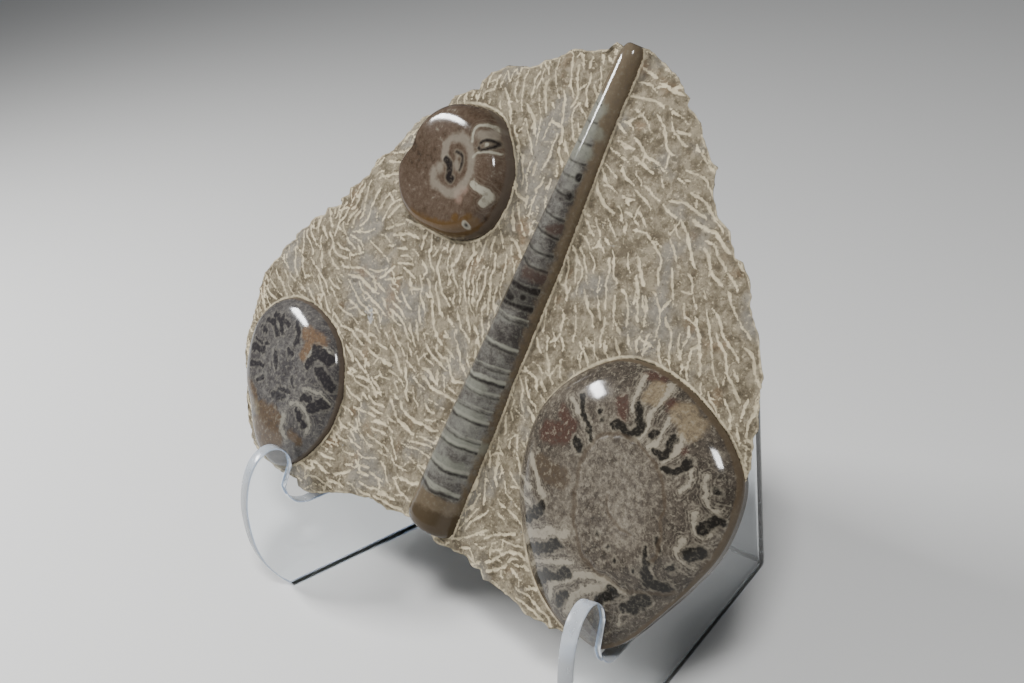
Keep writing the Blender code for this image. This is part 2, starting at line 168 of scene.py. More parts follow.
def ripple(places: np.ndarray, size: float, seed: float, lengthen: float = 1.0) -> np.ndarray:
    """Smooth noise over the face.

    Args:
        places: Places on the face, one row each.
        size: Width of a bump in millimetres.
        seed: Which field.
        lengthen: How much longer a bump is up the face.

    Returns:
        Values from about -1 to 1.
    """
    tall = size * lengthen
    return np.array([noise.noise((x / size, y / tall, seed)) for x, y in places.tolist()])


def read_off(table: tuple[Point, ...], at: np.ndarray) -> np.ndarray:
    """Values between a table's rows.

    Args:
        table: Places in rising order, each with its value.
        at: Where to read.

    Returns:
        One value for each place.
    """
    rows = np.array(table, float)
    return np.interp(at, rows[:, 0], rows[:, 1])


def nearest_among(places: np.ndarray) -> kdtree.KDTree:
    """A tree that finds the nearest of some places on the face."""
    tree = kdtree.KDTree(len(places))
    for i, (x, y) in enumerate(places.tolist()):
        tree.insert((x, y, 0.0), i)
    tree.balance()
    return tree


def noise_at(x: float, y: float, size: float, seed: float) -> float:
    """Smooth noise at one place, with bumps size millimetres wide."""
    return noise.noise((x / size, y / size, seed))


def warped(places: np.ndarray) -> np.ndarray:
    """Places shifted a little by smooth noise, so that what is drawn with them looks grown.

    Args:
        places: Places on the face, one row each.

    Returns:
        The shifted places.
    """
    broad = np.column_stack([ripple(places, 5.5, 31.0), ripple(places, 5.5, 37.0)])
    small = np.column_stack([ripple(places, 1.9, 41.0), ripple(places, 1.9, 43.0)])
    return places + 1.3 * broad + 0.55 * small


class Streak(NamedTuple):
    """A mark drawn as a line whose half-width runs from start to end, in millimetres."""

    start: float
    end: float
    points: tuple[Point, ...]


def marked(places: np.ndarray, streaks: list[Streak]) -> np.ndarray:
    """How deep places lie within a set of streaks.

    Args:
        places: Places on the face, one row each.
        streaks: The marks.

    Returns:
        Millimetres within the nearest streak's edge, from 3 inside to -3 outside.
    """
    depth = np.full(len(places), OUTSIDE)
    for streak in streaks:
        line = np.array(streak.points, float)
        if len(line) > 2:
            line = spline(streak.points, 4, False)
        if len(line) == 1:
            line = np.vstack([line, line + 0.01])
        depth = np.maximum(depth, -line_distance(places, line, streak.start, streak.end))
    return np.minimum(depth, -OUTSIDE)


# --- the face's plane -----------------------------------------------------------------------
@dataclass(frozen=True)
class FacePlane:
    """The slab's leaning face in the object's frame."""

    lean: float = math.radians(27.4)
    origin: Place = (0.0, -120.0, 48.6)
    stand_middle: float = -3.0
    panel_back: float = 3.0

    def shift(self) -> np.ndarray:
        """Millimetres from the stand's own zero to the object's frame."""
        low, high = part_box("acrylic_stand")
        return np.array([500.0 * (low.x + high.x) - self.stand_middle,
                         1000.0 * high.y - self.panel_back, 0.0])

    def axes(self) -> np.ndarray:
        """Across, up and out of the face, one row each."""
        lift, back = math.cos(self.lean), math.sin(self.lean)
        return np.array([[1.0, 0.0, 0.0], [0.0, back, lift], [0.0, -lift, back]])

    def place(self, points: np.ndarray) -> np.ndarray:
        """Face millimetres turned to metres in the object's frame.

        Args:
            points: Across, up and out, one row each.

        Returns:
            Positions in metres.
        """
        return (points @ self.axes() + np.array(self.origin) + self.shift()) * MM


PLANE = FacePlane()


def placed(name: str, data: bpy.types.ID) -> bpy.types.Object:
    """A new object in the scene, at the origin."""
    made = bpy.data.objects.new(name, data)
    bpy.context.scene.collection.objects.link(made)
    return made


def ring_faces(low: int, high: int, count: int) -> Faces:
    """Faces between two rings of points.

    Args:
        low: Number of the first ring's first point.
        high: Number of the second ring's first point.
        count: Points in a ring.

    Returns:
        One face a step around the ring.
    """
    return [(low + i, low + (i + 1) % count, high + (i + 1) % count, high + i)
            for i in range(count)]


def filled(places: np.ndarray, count: int) -> tuple[np.ndarray, Faces]:
    """Fill an outline with triangles.

    Args:
        places: The outline's places in order, then the places inside it.
        count: How many of them are the outline's.

    Returns:
        The places, and the triangles between them.
    """
    flat = delaunay_2d_cdt([Vector(place) for place in places.tolist()], [],
                           [list(range(count))], 1, 1e-6)
    return np.array([tuple(place) for place in flat[0]]), [tuple(face) for face in flat[2]]


def solid(name: str, points: np.ndarray, faces: Faces) -> bpy.types.Object:
    """A smooth mesh object from points in metres, with its faces turned outwards.

    Args:
        name: Object and mesh name.
        points: Positions in metres.
        faces: Corner numbers of each face.

    Returns:
        The new object.
    """
    mesh = bpy.data.meshes.new(name)
    mesh.from_pydata(points.tolist(), [], faces)
    shape = bmesh.new()
    shape.from_mesh(mesh)
    bmesh.ops.recalc_face_normals(shape, faces=shape.faces)
    shape.to_mesh(mesh)
    shape.free()
    mesh.polygons.foreach_set("use_smooth", [True] * len(mesh.polygons))
    return placed(name, mesh)


def store(item: bpy.types.Object, name: str, values: np.ndarray) -> None:
    """Keep a value for each point of an object's mesh.

    Args:
        item: The object.
        name: Attribute name.
        values: One number a point.
    """
    kept = item.data.attributes.new(name, "FLOAT", "POINT")
    kept.data.foreach_set("value", np.ascontiguousarray(values, np.float32))


def store_places(item: bpy.types.Object, name: str, places: np.ndarray) -> None:
    """Keep a position in millimetres for each point of an object's mesh, as metres.

    Args:
        item: The object.
        name: Attribute name.
        places: One row a point.
    """
    kept = item.data.attributes.new(name, "FLOAT_VECTOR", "POINT")
    kept.data.foreach_set("vector", np.ascontiguousarray(places * MM, np.float32).ravel())


def settle(item: bpy.types.Object, node: str) -> None:
    """Make a piece stand for a node of the model and ride with it.

    Args:
        item: The piece.
        node: The node it stands for.
    """
    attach(item, "root")
    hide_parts(node)
    LOG.info("%s: %d faces", item.name, len(item.data.polygons))


# --- finishes -------------------------------------------------------------------------------
class Nodes:
    """A node tree that is filled one node at a time."""

    tree: bpy.types.NodeTree

    def feed(self, socket: bpy.types.NodeSocket, value: object) -> None:
        """Give an input another node's output, a colour or a number."""
        if isinstance(value, bpy.types.NodeSocket):
            self.tree.links.new(value, socket)
        else:
            socket.default_value = (*value, 1.0) if socket.type == "RGBA" else value

    def node(self, kind: str, given: dict[str | int, object] | None = None,
             **settings: object) -> bpy.types.Node:
        """Add a node.

        Args:
            kind: Which node.
            given: What its inputs take, by name or number.
            **settings: Its settings by name.

        Returns:
            The new node.
        """
        made = self.tree.nodes.new(kind)
        for name, value in settings.items():
            setattr(made, name, value)
        for key, value in (given or {}).items():
            self.feed(made.inputs[key], value)
        return made

    def math(self, kind: str, *values: object) -> bpy.types.NodeSocket:
        """One sum of values, each a socket or a number."""
        return self.node("ShaderNodeMath", dict(enumerate(values)), operation=kind).outputs[0]

    def times(self, first: object, second: object) -> bpy.types.NodeSocket:
        """The product of two values."""
        return self.math("MULTIPLY", first, second)

    def step(self, value: bpy.types.NodeSocket, low: float, high: float,
             least: float = 0.0, most: float = 1.0) -> bpy.types.NodeSocket:
        """Ease from least to most as a value passes from low to high."""
        ends = {"From Min": low, "From Max": high, "To Min": least, "To Max": most}
        return self.node("ShaderNodeMapRange", {**ends, "Value": value},
                         interpolation_type="SMOOTHSTEP").outputs["Result"]


class Painter(Nodes):
    """A material, painted by laying one tint over another."""

    def __init__(self, name: str, base: Colour) -> None:
        """Start a material named name, all of one base colour."""
        self.material = bpy.data.materials.new(name)
        self.material.use_nodes = True
        self.tree = self.material.node_tree
        self.shader = self.tree.nodes["Principled BSDF"]
        self.where = self.node("ShaderNodeTexCoord").outputs["Object"]
        self.colour: object = base

    def kept(self, name: str, kind: str = "Fac") -> bpy.types.NodeSocket:
        """The value, or the Vector, kept on the mesh under a name."""
        return self.node("ShaderNodeAttribute", attribute_name=name).outputs[kind]

    def noise(self, size: float, detail: float = 4.0, rough: float = 0.55, shift: float = 0.0,
              stretch: Place = (1.0, 1.0, 1.0), way: str = "") -> bpy.types.NodeSocket:
        """Noise whose bumps are about size millimetres wide.

        Args:
            size: Width of a bump in millimetres.
            detail: Finer layers laid over it.
            rough: Strength of the finer layers.
            shift: Where in the noise to start.
            stretch: Scale along each axis.
            way: Name of the kept positions to use in place of the object's own.

        Returns:
            The noise value, around a half.
        """
        mapping = self.node("ShaderNodeMapping", {
            "Scale": stretch, "Location": (shift, shift, shift),
            "Vector": self.kept(way, "Vector") if way else self.where})
        return self.node("ShaderNodeTexNoise", {
            "Scale": 1000.0 / size, "Detail": detail, "Roughness": rough,
            "Vector": mapping.outputs["Vector"]}).outputs["Fac"]

    def moved(self, value: object, by: object, amount: object) -> bpy.types.NodeSocket:
        """A value with a second one, times an amount, added to it."""
        return self.math("ADD", value, self.times(by, amount))

    def wandering(self, name: str, amount: float, *noise: float) -> bpy.types.NodeSocket:
        """A kept value moved up and down by noise.

        Args:
            name: The kept value.
            amount: How far noise moves it.
            *noise: The noise's size, detail, roughness and shift.

        Returns:
            The moved value.
        """
        return self.moved(self.kept(name), self.math("SUBTRACT", self.noise(*noise), 0.5), amount)

    def ragged(self, name: str, size: float, amount: float, soft: float, shift: float,
               reach: float = 0.0) -> bpy.types.NodeSocket:
        """A kept mark with its edge broken up by noise.

        Args:
            name: The kept value, in millimetres within the mark.
            size: Width of the edge's bumps.
            amount: How far noise moves the edge, in millimetres.
            soft: Width of the edge's fade.
            shift: Where in the noise to start.
            reach: Where the edge lies, in millimetres within the mark.

        Returns:
            A share from 0 to 1.
        """
        edge = self.wandering(name, 4.0 * amount, size, 5.0, 0.6, shift)
        return self.step(edge, reach - soft, reach + soft)

    def over(self, tint: Colour, share: object, hold: object = 1.0) -> None:
        """Lay a tint over the colour so far, by a share times a second one."""
        if hold != 1.0:
            share = self.times(share, hold)
        self.colour = self.node("ShaderNodeMix", {0: share, 6: self.colour, 7: tint},
                                data_type="RGBA").outputs[2]

    def lay(self, tint: Colour, value: bpy.types.NodeSocket, low: float, high: float,
            most: float = 1.0) -> None:
        """Lay a tint over the colour so far, up to most, as a value passes from low to high."""
        self.over(tint, self.step(value, low, high, 0.0, most))

    def bump(self, height: bpy.types.NodeSocket, distance: float, strength: float) -> None:
        """Raise the surface by a height value over a distance in millimetres."""
        node = self.node("ShaderNodeBump", {"Distance": distance * MM, "Strength": strength,
                                            "Height": height})
        self.feed(self.shader.inputs["Normal"], node.outputs["Normal"])

    def finish(self, **values: object) -> bpy.types.Material:
        """Give the shader its colour and other values by name, and return the material."""
        self.feed(self.shader.inputs["Base Color"], self.colour)
        for name, value in values.items():
            self.feed(self.shader.inputs[name.replace("_", " ")], value)
        return self.material


@dataclass(frozen=True)
class LimestoneFinish:
    """Tan-grey limestone with cream tool marks."""

    light: Colour = (0.285, 0.242, 0.166)
    shade: Colour = (0.115, 0.092, 0.058)
    stain: Colour = (0.19, 0.115, 0.06)
    cool: Colour = (0.225, 0.21, 0.18)
    cream: Colour = (0.68, 0.585, 0.40)
    grain: Colour = (0.055, 0.043, 0.03)
    chalk: Colour = (0.50, 0.51, 0.50)
    roughness: float = 0.82
    gloss: float = 0.3

    def make(self) -> bpy.types.Material:
        """The stone's material: broad stains and grains, then chalk, worn grooves and edges."""
        paint = Painter("limestone_chiselled", self.shade)
        for tint, most, low, high, *grain in (
                (self.light, 1.0, 0.38, 0.62, 4.6, 6.0, 0.74, 0.0),
                (self.cool, 0.7, 0.50, 0.66, 21.0, 3.0, 0.5, 7.7),
                (self.stain, 0.6, 0.57, 0.72, 17.0, 5.0, 0.6, 1.7),
                (self.cream, 0.55, 0.55, 0.70, 1.3, 4.0, 0.65, 6.3),
                (self.grain, 0.75, 0.56, 0.70, 0.9, 4.0, 0.7, 4.1)):
            paint.lay(tint, paint.noise(*grain), low, high, most)
        chalk, groove, edge = (
            paint.wandering(name, amount, size, 4.0, 0.62, size)
            for name, amount, size in (("chalk", 3.6, 3.2), ("groove", 1.5, 1.3),
                                       ("edge", 1.3, 2.4)))
        paint.lay(self.chalk, chalk, 0.62, 1.15, 0.62)
        strong = paint.step(paint.noise(9.0, 4.0, 0.6, 5.5), 0.35, 0.60, 0.72, 1.0)
        paint.over(self.cream, paint.step(groove, 0.20, 0.66), strong)
        patchy = paint.step(paint.noise(12.0, 4.0, 0.6, 2.4), 0.38, 0.58, 0.35, 0.88)
        paint.over(self.cream, paint.step(edge, 0.35, 0.90), patchy)
        paint.bump(paint.noise(1.6, 7.0, 0.75, 3.0), 1.4, 1.0)
        return paint.finish(Roughness=self.roughness, Specular_IOR_Level=self.gloss)


@dataclass(frozen=True)
class ShellFinish:
    """Polished calcite with chambers and septa marked on it."""

    name: str
    light: Colour
    shade: Colour
    dark: Colour
    pale: Colour
    rust: Colour
    cream: Colour
    brown: Colour
    flank: Colour
    streaking: float = 0.40
    speckle: float = 0.6
    grit: float = 0.55
    banding: float = 0.35
    ragged: float = 0.95
    halo: float = 0.40
    gloss: float = 0.20
    polish: float = 0.10
    matte: float = 0.42

    def make(self) -> bpy.types.Material:
        """The shell's material: its grain, then its patches, walls, chambers and flank."""
        paint = Painter(self.name, self.shade)
        streaked = paint.noise(1.7, 5.0, 0.62, 0.6, (1.0, 1.0, 0.30), "whorl")
        grainy = paint.noise(2.7, 6.0, 0.74)
        share = paint.moved(self.streaking, paint.kept("matte"), -0.85 * self.streaking)
        mottled = paint.moved(grainy, paint.math("SUBTRACT", streaked, grainy), share)
        # the kept tone shifts the grain lighter or darker; on the orthoceras it also holds painted
        # shade down the bar's right half
        tone = paint.moved(mottled, paint.kept("tone"), 0.22)
        paint.lay(self.light, tone, 0.40, 0.60)
        paint.lay(self.pale, tone, 0.58, 0.74, 0.65)
        paint.lay(self.dark, tone, 0.44, 0.30, 0.55)
        self.band(paint)
        fleck = paint.noise(0.7, 4.0, 0.8, 5.2)
        paint.lay(self.dark, fleck, 0.54, 0.68, self.speckle)
        paint.lay(self.pale, fleck, 0.46, 0.32, self.speckle)
        for name, tint, shift, hold in (("brown", self.brown, 5.0, 0.9),
                                        ("rust", self.rust, 4.0, 0.85),
                                        ("cream", self.cream, 5.0, 0.62)):
            paint.over(tint, paint.ragged(name, 3.4, 1.0, 1.1, shift), hold)
        grit = paint.noise(1.7, 4.0, 0.7, 7.1)
        paint.lay(self.shade, grit, 0.51, 0.62, self.grit)
        paint.lay(self.pale, grit, 0.47, 0.36, 0.8 * self.grit)
        paint.over(self.pale, paint.ragged("dark", 1.6, 0.8 * self.ragged, 0.5, 9.1, -0.7),
                   self.halo)
        paint.over(self.pale, paint.ragged("pale", 1.1, 0.7 * self.ragged, 0.4, 4.4),
                   paint.step(mottled, 0.34, 0.52, 0.45, 0.95))
        veil = paint.noise(1.3, 4.0, 0.7, 3.3)
        paint.over(self.dark, paint.ragged("dark", 2.4, self.ragged, 0.6, 6.6),
                   paint.step(veil, 0.68, 0.48, 0.62, 0.96))
        paint.over(self.brown, paint.ragged("seam", 1.5, 0.30, 0.45, 8.1), 0.6)
        flank = paint.wandering("flank", 0.7, 3.0, 4.0, 0.6, 2.9)
        paint.lay(self.flank, flank, 0.35, 0.75, 0.85)
        matte = paint.times(paint.kept("matte"), paint.step(paint.noise(2.0, 4.0, 0.6), 0.3, 0.6))
        paint.bump(paint.noise(2.2, 3.0, 0.5, 1.2), 0.06, 0.25)
        return paint.finish(Roughness=paint.step(matte, 0.0, 1.0, self.polish, self.matte),
                            Specular_IOR_Level=self.gloss)

    def band(self, paint: Painter) -> None:
        """Lay fine growth bands that run beside the pale walls."""
        beside = paint.times(paint.kept("pale"), 5.0)
        phase = paint.moved(beside, paint.noise(3.2, 4.0, 0.6, 8.8), 9.0)
        ridge = paint.step(paint.math("SINE", phase), -0.1, 0.9, 0.0, self.banding)
        paint.over(self.pale, ridge, paint.step(paint.kept("pale"), -2.95, -1.4))


@dataclass(frozen=True)
class AcrylicFinish:
    """Clear acrylic with a faint cool tint and fine wear, or its frosted sawn edge."""

    name: str = "acrylic_clear"
    tint: Colour = (0.95, 0.975, 0.99)
    absorbed: Colour = (0.60, 0.74, 0.88)
    density: float = 4.0
    index: float = 1.49
    transmission: float = 1.0
    polished: float = 0.015
    scratched: float = 0.12

    def make(self) -> bpy.types.Material:
        """The stand's material."""
        paint = Painter(self.name, self.tint)
        absorb = paint.node("ShaderNodeVolumeAbsorption", {"Color": self.absorbed,
                                                           "Density": self.density})
        paint.feed(paint.tree.nodes["Material Output"].inputs["Volume"],
                   absorb.outputs["Volume"])
        scratch = paint.noise(2.0, 3.0, 0.6, stretch=(1.0, 1.0, 0.05))
        worn = paint.step(scratch, 0.60, 0.75, self.polished, self.scratched)
        return paint.finish(Roughness=worn, IOR=self.index, Transmission_Weight=self.transmission)


# --- fossils --------------------------------------------------------------------------------
class Tint(Enum):
    """Kinds of mark on a polished fossil, each kept on the mesh under its value."""

    DARK = "dark"
    PALE = "pale"
    RUST = "rust"
    CREAM = "cream"
    BROWN = "brown"
    SEAM = "seam"


Marks = dict[Tint, list[Streak]]


class Fossil(Protocol):
    """What every fossil has: its node, its slot and its finish."""

    node: str
    slot: str
    finish: ShellFinish


def dressed(fossil: Fossil, points: np.ndarray, faces: Faces, depths: dict[Tint, np.ndarray],
            whorl: np.ndarray, **shares: np.ndarray) -> bpy.types.Object:
    """Make a fossil's mesh and dress it.

    Args:
        fossil: Whose mesh it is.
        points: Its points in face millimetres.
        faces: Corner numbers of each face.
        depths: How deep each point lies within each kind of mark.
        whorl: The positions that the grain follows.
        **shares: Further values that the finish reads, by name.

    Returns:
        The finished piece.
    """
    piece = solid(fossil.node + "_polished", PLANE.place(points), faces)
    for tint, depth in depths.items():
        store(piece, tint.value, depth)
    for name, values in shares.items():
        store(piece, name, values)
    store_places(piece, "whorl", whorl)
    piece.data.materials.append(fossil.finish.make())
    settle(piece, fossil.node)
    return piece


@dataclass
class CoiledShell:
    """A coiled shell polished to a low dome, let into the slab."""

    node: str
    slot: str
    outline: list[Point]
    height: float
    marks: Marks
    finish: ShellFinish
    hollow: float = 0.0
    gentle_foot: bool = False
    cad_steps: int = 3
    fine_steps: int = 22
    rings: int = 110
    bed_share: float = 1.02
    seat: float = 3.0
    crest: float = 2.6
    steep: float = 0.55
    gentle: float = 1.05
    waviness: float = 0.10
    seam_depth: float = 0.22
    dome_edge: Point = (0.90, 1.0)
    core: Point = (0.30, 0.72)
    hollow_reach: float = 0.62
    flank_from: float = 0.955
    grown: float = 1.0
    coil_centre: Point = (0.0, 0.0)
    coil_turn: float = 0.018
    coil_radius: float = 26.0
    evenness: float = 0.0
    centre_tone: float = 0.0

    def rim(self) -> np.ndarray:
        """The smooth outline where the shell meets the slab."""
        return spline(self.outline, self.fine_steps, True)

    def flank(self, angle: np.ndarray) -> np.ndarray:
        """Exponent of the flank at an angle: 0.5 is upright at the rim, 1 slopes evenly."""
        if not self.gentle_foot:
            return np.full_like(angle, self.steep)
        toward_foot = 0.5 - 0.5 * np.sin(angle)
        return self.steep + (self.gentle - self.steep) * smooth_step(0.62, 0.95, toward_foot)

    def surface(self) -> tuple[np.ndarray, np.ndarray, int]:
        """The dome's points in rings from its bed to its crest.

        Returns:
            The points in face millimetres, each point's share of the way to the rim, and the
            number of points in a ring.
        """
        rim = self.rim()
        coarse = spline(self.outline, self.cad_steps, True)
        middle = coarse.mean(axis=0)
        reach = np.hypot(*(coarse - middle).T).mean()
        out = rim - middle
        angle = np.arctan2(out[:, 1], out[:, 0])
        spoke = np.stack([np.cos(angle), np.sin(angle)], 1)
        points = [np.column_stack([rim, np.full(len(rim), -self.seat)])]
        shares = [np.full(len(rim), self.bed_share)]
        for ring in range(self.rings):
            share = math.cos(0.5 * math.pi * ring / self.rings)
            flat = middle + share * (share ** 2 * out + (1.0 - share ** 2) * reach * spoke)
            rise = self.height * (1.0 - share ** self.crest) ** self.flank(angle)
            rise = rise - self.hollow * (1.0 - smooth_step(0.0, self.hollow_reach, share))
            points.append(np.column_stack([flat, rise]))
            shares.append(np.full(len(rim), share))
        points.append(np.array([[*middle, self.height - self.hollow]]))
        shares.append(np.zeros(1))
        return np.vstack(points), np.concatenate(shares), len(rim)

    def whorl(self, places: np.ndarray) -> np.ndarray:
        """Positions on a cylinder about the coil's centre, along which its walls run.

        Args:
            places: Places on the face, one row each.

        Returns:
            One row a place, in millimetres.
        """
        out = places - np.array(self.coil_centre)
        radius = np.hypot(*out.T)
        angle = np.arctan2(out[:, 1], out[:, 0]) + self.coil_turn * radius
        return np.column_stack([self.coil_radius * np.cos(angle),
                                self.coil_radius * np.sin(angle), radius])

    def build(self) -> bpy.types.Object:
        """Make the shell and dress it.

        Returns:
            The finished piece.
        """
        points, share, around = self.surface()
        flat = points[:, :2]
        drawn = flat + self.grown * (warped(flat) - flat)
        depths = {tint: marked(drawn, self.marks.get(tint, [])) for tint in Tint}
        on_dome = 1.0 - smooth_step(*self.dome_edge, share)
        points[:, 2] += on_dome * self.waviness * ripple(flat, 9.0, 2.5)
        points[:, 2] -= on_dome * self.seam_depth * smooth_step(-0.9, 0.3, depths[Tint.SEAM])
        crown = self.rings * around
        faces = [face for low in range(0, crown, around)
                 for face in ring_faces(low, low + around, around)]
        faces += [(crown + i, crown + (i + 1) % around, len(points) - 1) for i in range(around)]
        faces.append(tuple(reversed(range(around))))
        core = 1.0 - smooth_step(*self.core, share)
        tone = self.evenness + self.centre_tone * core + 0.6 * ripple(flat, 17.0, 21.0)
        return dressed(self, points, faces, depths, self.whorl(drawn), matte=core,
                       flank=smooth_step(self.flank_from, 1.0, share), tone=tone)


class Septum(NamedTuple):
    """A wall across the orthoceras: its height up the face at left, middle and right."""

    left: float
    middle: float
    right: float
    width: float


@dataclass
class Orthoceras:
    """The long tapering cone, cut and polished to a half-round bar."""

    node: str
    slot: str
    septa: list[Septum]
    marks: Marks
    finish: ShellFinish
    foot: Point = (-8.0, 6.4)
    tip: Point = (35.15, 198.8)
    half_width: Point = (11.6, 4.4)
    taper: float = 1.4
    rise: float = 0.8
    foot_round: float = 5.0
    foot_blunt: float = 0.72
    tip_round: float = 6.0
    tip_blunt: float = 0.45
    seat: float = 3.0
    waviness: float = 0.10
    tan_side: float = -0.90
    grown: float = 0.45
    stations: int = 470
    arc: int = 84
    tan_edge: tuple[Point, ...] = ((6, 0.94), (80, 0.93), (104, 0.86), (118, 0.86), (135, 0.73),
                                   (154, 0.66), (162, 0.54), (172, 0.30), (178, 0.02),
                                   (184, -1.3))
    tones: tuple[Point, ...] = ((20, -0.2), (30, 0.1), (45, 0.2), (60, 0.1), (68, -0.1),
                                (80, -0.1), (95, -0.4), (104, -1.2), (110, -0.4), (120, 0.0),
                                (140, -0.1), (150, 0.2), (165, 0.9), (176, 0.9), (190, 0.0))
    cap_edge: tuple[Point, ...] = ((-1.0, 24.2), (-0.55, 22.6), (0.0, 21.4), (0.8, 20.6),
                                   (1.0, 20.6))

    def half(self, share: np.ndarray) -> np.ndarray:
        """Half-width at a share of the length, the ends rounded off."""
        wide, narrow = self.half_width
        length = math.dist(self.foot, self.tip)
        plain = wide + (narrow - wide) * share ** self.taper
        near_foot = np.minimum(1.0, share * length / self.foot_round)
        near_tip = np.minimum(1.0, (1.0 - share) * length / self.tip_round)
        for blunt, near in ((self.foot_blunt, near_foot), (self.tip_blunt, near_tip)):
            plain = plain * (blunt + (1.0 - blunt) * np.sqrt(1.0 - (1.0 - near) ** 2))
        return plain

    def line(self) -> tuple[np.ndarray, np.ndarray, np.ndarray]:
        """The foot, the run from the foot to the tip, and one millimetre across."""
        foot = np.array(self.foot)
        run = np.array(self.tip) - foot
        along = run / np.hypot(*run)
        return foot, run, np.array([along[1], -along[0]])

    def outline(self) -> np.ndarray:
        """Where the bar meets the slab, as a closed outline."""
        foot, run, across = self.line()
        share = np.linspace(0.0, 1.0, 60)
        axis = foot + share[:, None] * run
        side = self.half(share)[:, None] * across
        return np.vstack([axis + side, (axis - side)[::-1]])

    def walls(self, above: float = 0.0, share_of_width: float = 1.0,
              up_to: float = 200.0) -> list[Streak]:
        """The septa as streaks across the bar.

        Args:
            above: How far over the septa the streaks lie, in millimetres.
            share_of_width: Their width over the septa's.
            up_to: Height up the face beyond which septa are left out.

        Returns:
            One streak a septum.
        """
        foot, run, _ = self.line()
        streaks = []
        for wall in self.septa:
            if wall.middle > up_to:
                continue
            share = (wall.middle - foot[1]) / run[1]
            axis = foot[0] + share * run[0]
            half = float(self.half(np.array([share]))[0])
            lift = 1.0 + 2.2 * float(smooth_step(104.0, 114.0, wall.middle))
            line = ((axis - half, wall.left + lift), (axis - 0.75 * half, wall.left + 0.45 * lift),
                    (axis - 0.4 * half, wall.left), (axis, wall.middle),
                    (axis + 0.6 * half, 0.5 * (wall.middle + wall.right)),
                    (axis + half, wall.right + 0.2 * lift))
            raised = tuple((x, y + above) for x, y in line)
            width = wall.width * share_of_width
            streaks.append(Streak(0.6 * width, 1.2 * width, raised))
        return streaks

    def build(self) -> bpy.types.Object:
        """Make the bar and dress it.

        Returns:
            The finished piece.
        """
        foot, run, across = self.line()
        even = np.linspace(0.0, 1.0, self.stations)
        share = 0.85 * even + 0.15 * (0.5 - 0.5 * np.cos(math.pi * even))
        half = self.half(share)
        turn = np.linspace(0.0, math.pi, self.arc + 1)
        ring = self.arc + 3
        side = np.concatenate([[-1.0, 1.0], np.cos(turn)])
        up = np.concatenate([[0.0, 0.0], np.sin(turn)])
        bed = np.concatenate([[-self.seat, -self.seat], np.zeros(self.arc + 1)])
        axis = foot + share[:, None] * run
        flat = (axis[:, None, :] + (half[:, None] * side)[..., None] * across).reshape(-1, 2)
        rise = (self.rise * half[:, None] * up + bed).reshape(-1)
        points = np.column_stack([flat, rise])
        raised = np.tile(up, self.stations) > 0.05
        points[:, 2] += raised * self.waviness * ripple(flat, 8.0, 6.5, 1.6)
        last = ring * (self.stations - 1)
        faces = [face for low in range(0, last, ring) for face in ring_faces(low, low + ring, ring)]
        faces += [tuple(reversed(range(ring))), tuple(range(last, last + ring))]
        marks = {**self.marks, Tint.DARK: self.walls() + self.marks[Tint.DARK],
                 Tint.PALE: self.walls(1.4, 1.3, 95.0) + self.marks[Tint.PALE]}
        drawn = flat + self.grown * (warped(flat) - flat)
        depths = {tint: marked(drawn, marks.get(tint, [])) for tint in Tint}
        across_share = np.tile(side, self.stations)
        width = np.repeat(half, ring)
        tan = (across_share - read_off(self.tan_edge, flat[:, 1])) * width
        tan = np.maximum(tan, read_off(self.cap_edge, across_share) - flat[:, 1])
        tan = np.maximum(tan, (self.tan_side - across_share) * width)
        depths[Tint.BROWN] = np.clip(tan, OUTSIDE, -OUTSIDE)
        depths[Tint.SEAM] = np.full(len(flat), OUTSIDE)
        stone = smooth_step(-0.2, 0.4, tan)
        for tint in (Tint.DARK, Tint.PALE, Tint.RUST):
            depths[tint] = depths[tint] * (1.0 - stone) + OUTSIDE * stone
        # painted shade: the bar's right half is darkened from about 70 mm up the face, as a side
        # turned from the light; it rides in the kept tone
        painted_shade = smooth_step(0.15, 0.85, across_share) * smooth_step(70.0, 95.0, flat[:, 1])
        tone = read_off(self.tones, flat[:, 1]) - 0.7 * painted_shade + 0.7 * ripple(flat, 9.0, 23.0)
        sag = 1.2 * across_share ** 2 - 0.9 * across_share
        grain = np.column_stack([drawn[:, 1] - sag, np.full(len(flat), 3.0),
                                 across_share * width])
        piece = dressed(self, points, faces, depths, grain,
                        matte=0.35 * smooth_step(0.2, 0.9, across_share),
                        flank=smooth_step(21.0, 10.0, flat[:, 1]), tone=tone)
        piece.data.set_sharp_from_angle(angle=SHARP)
        return piece


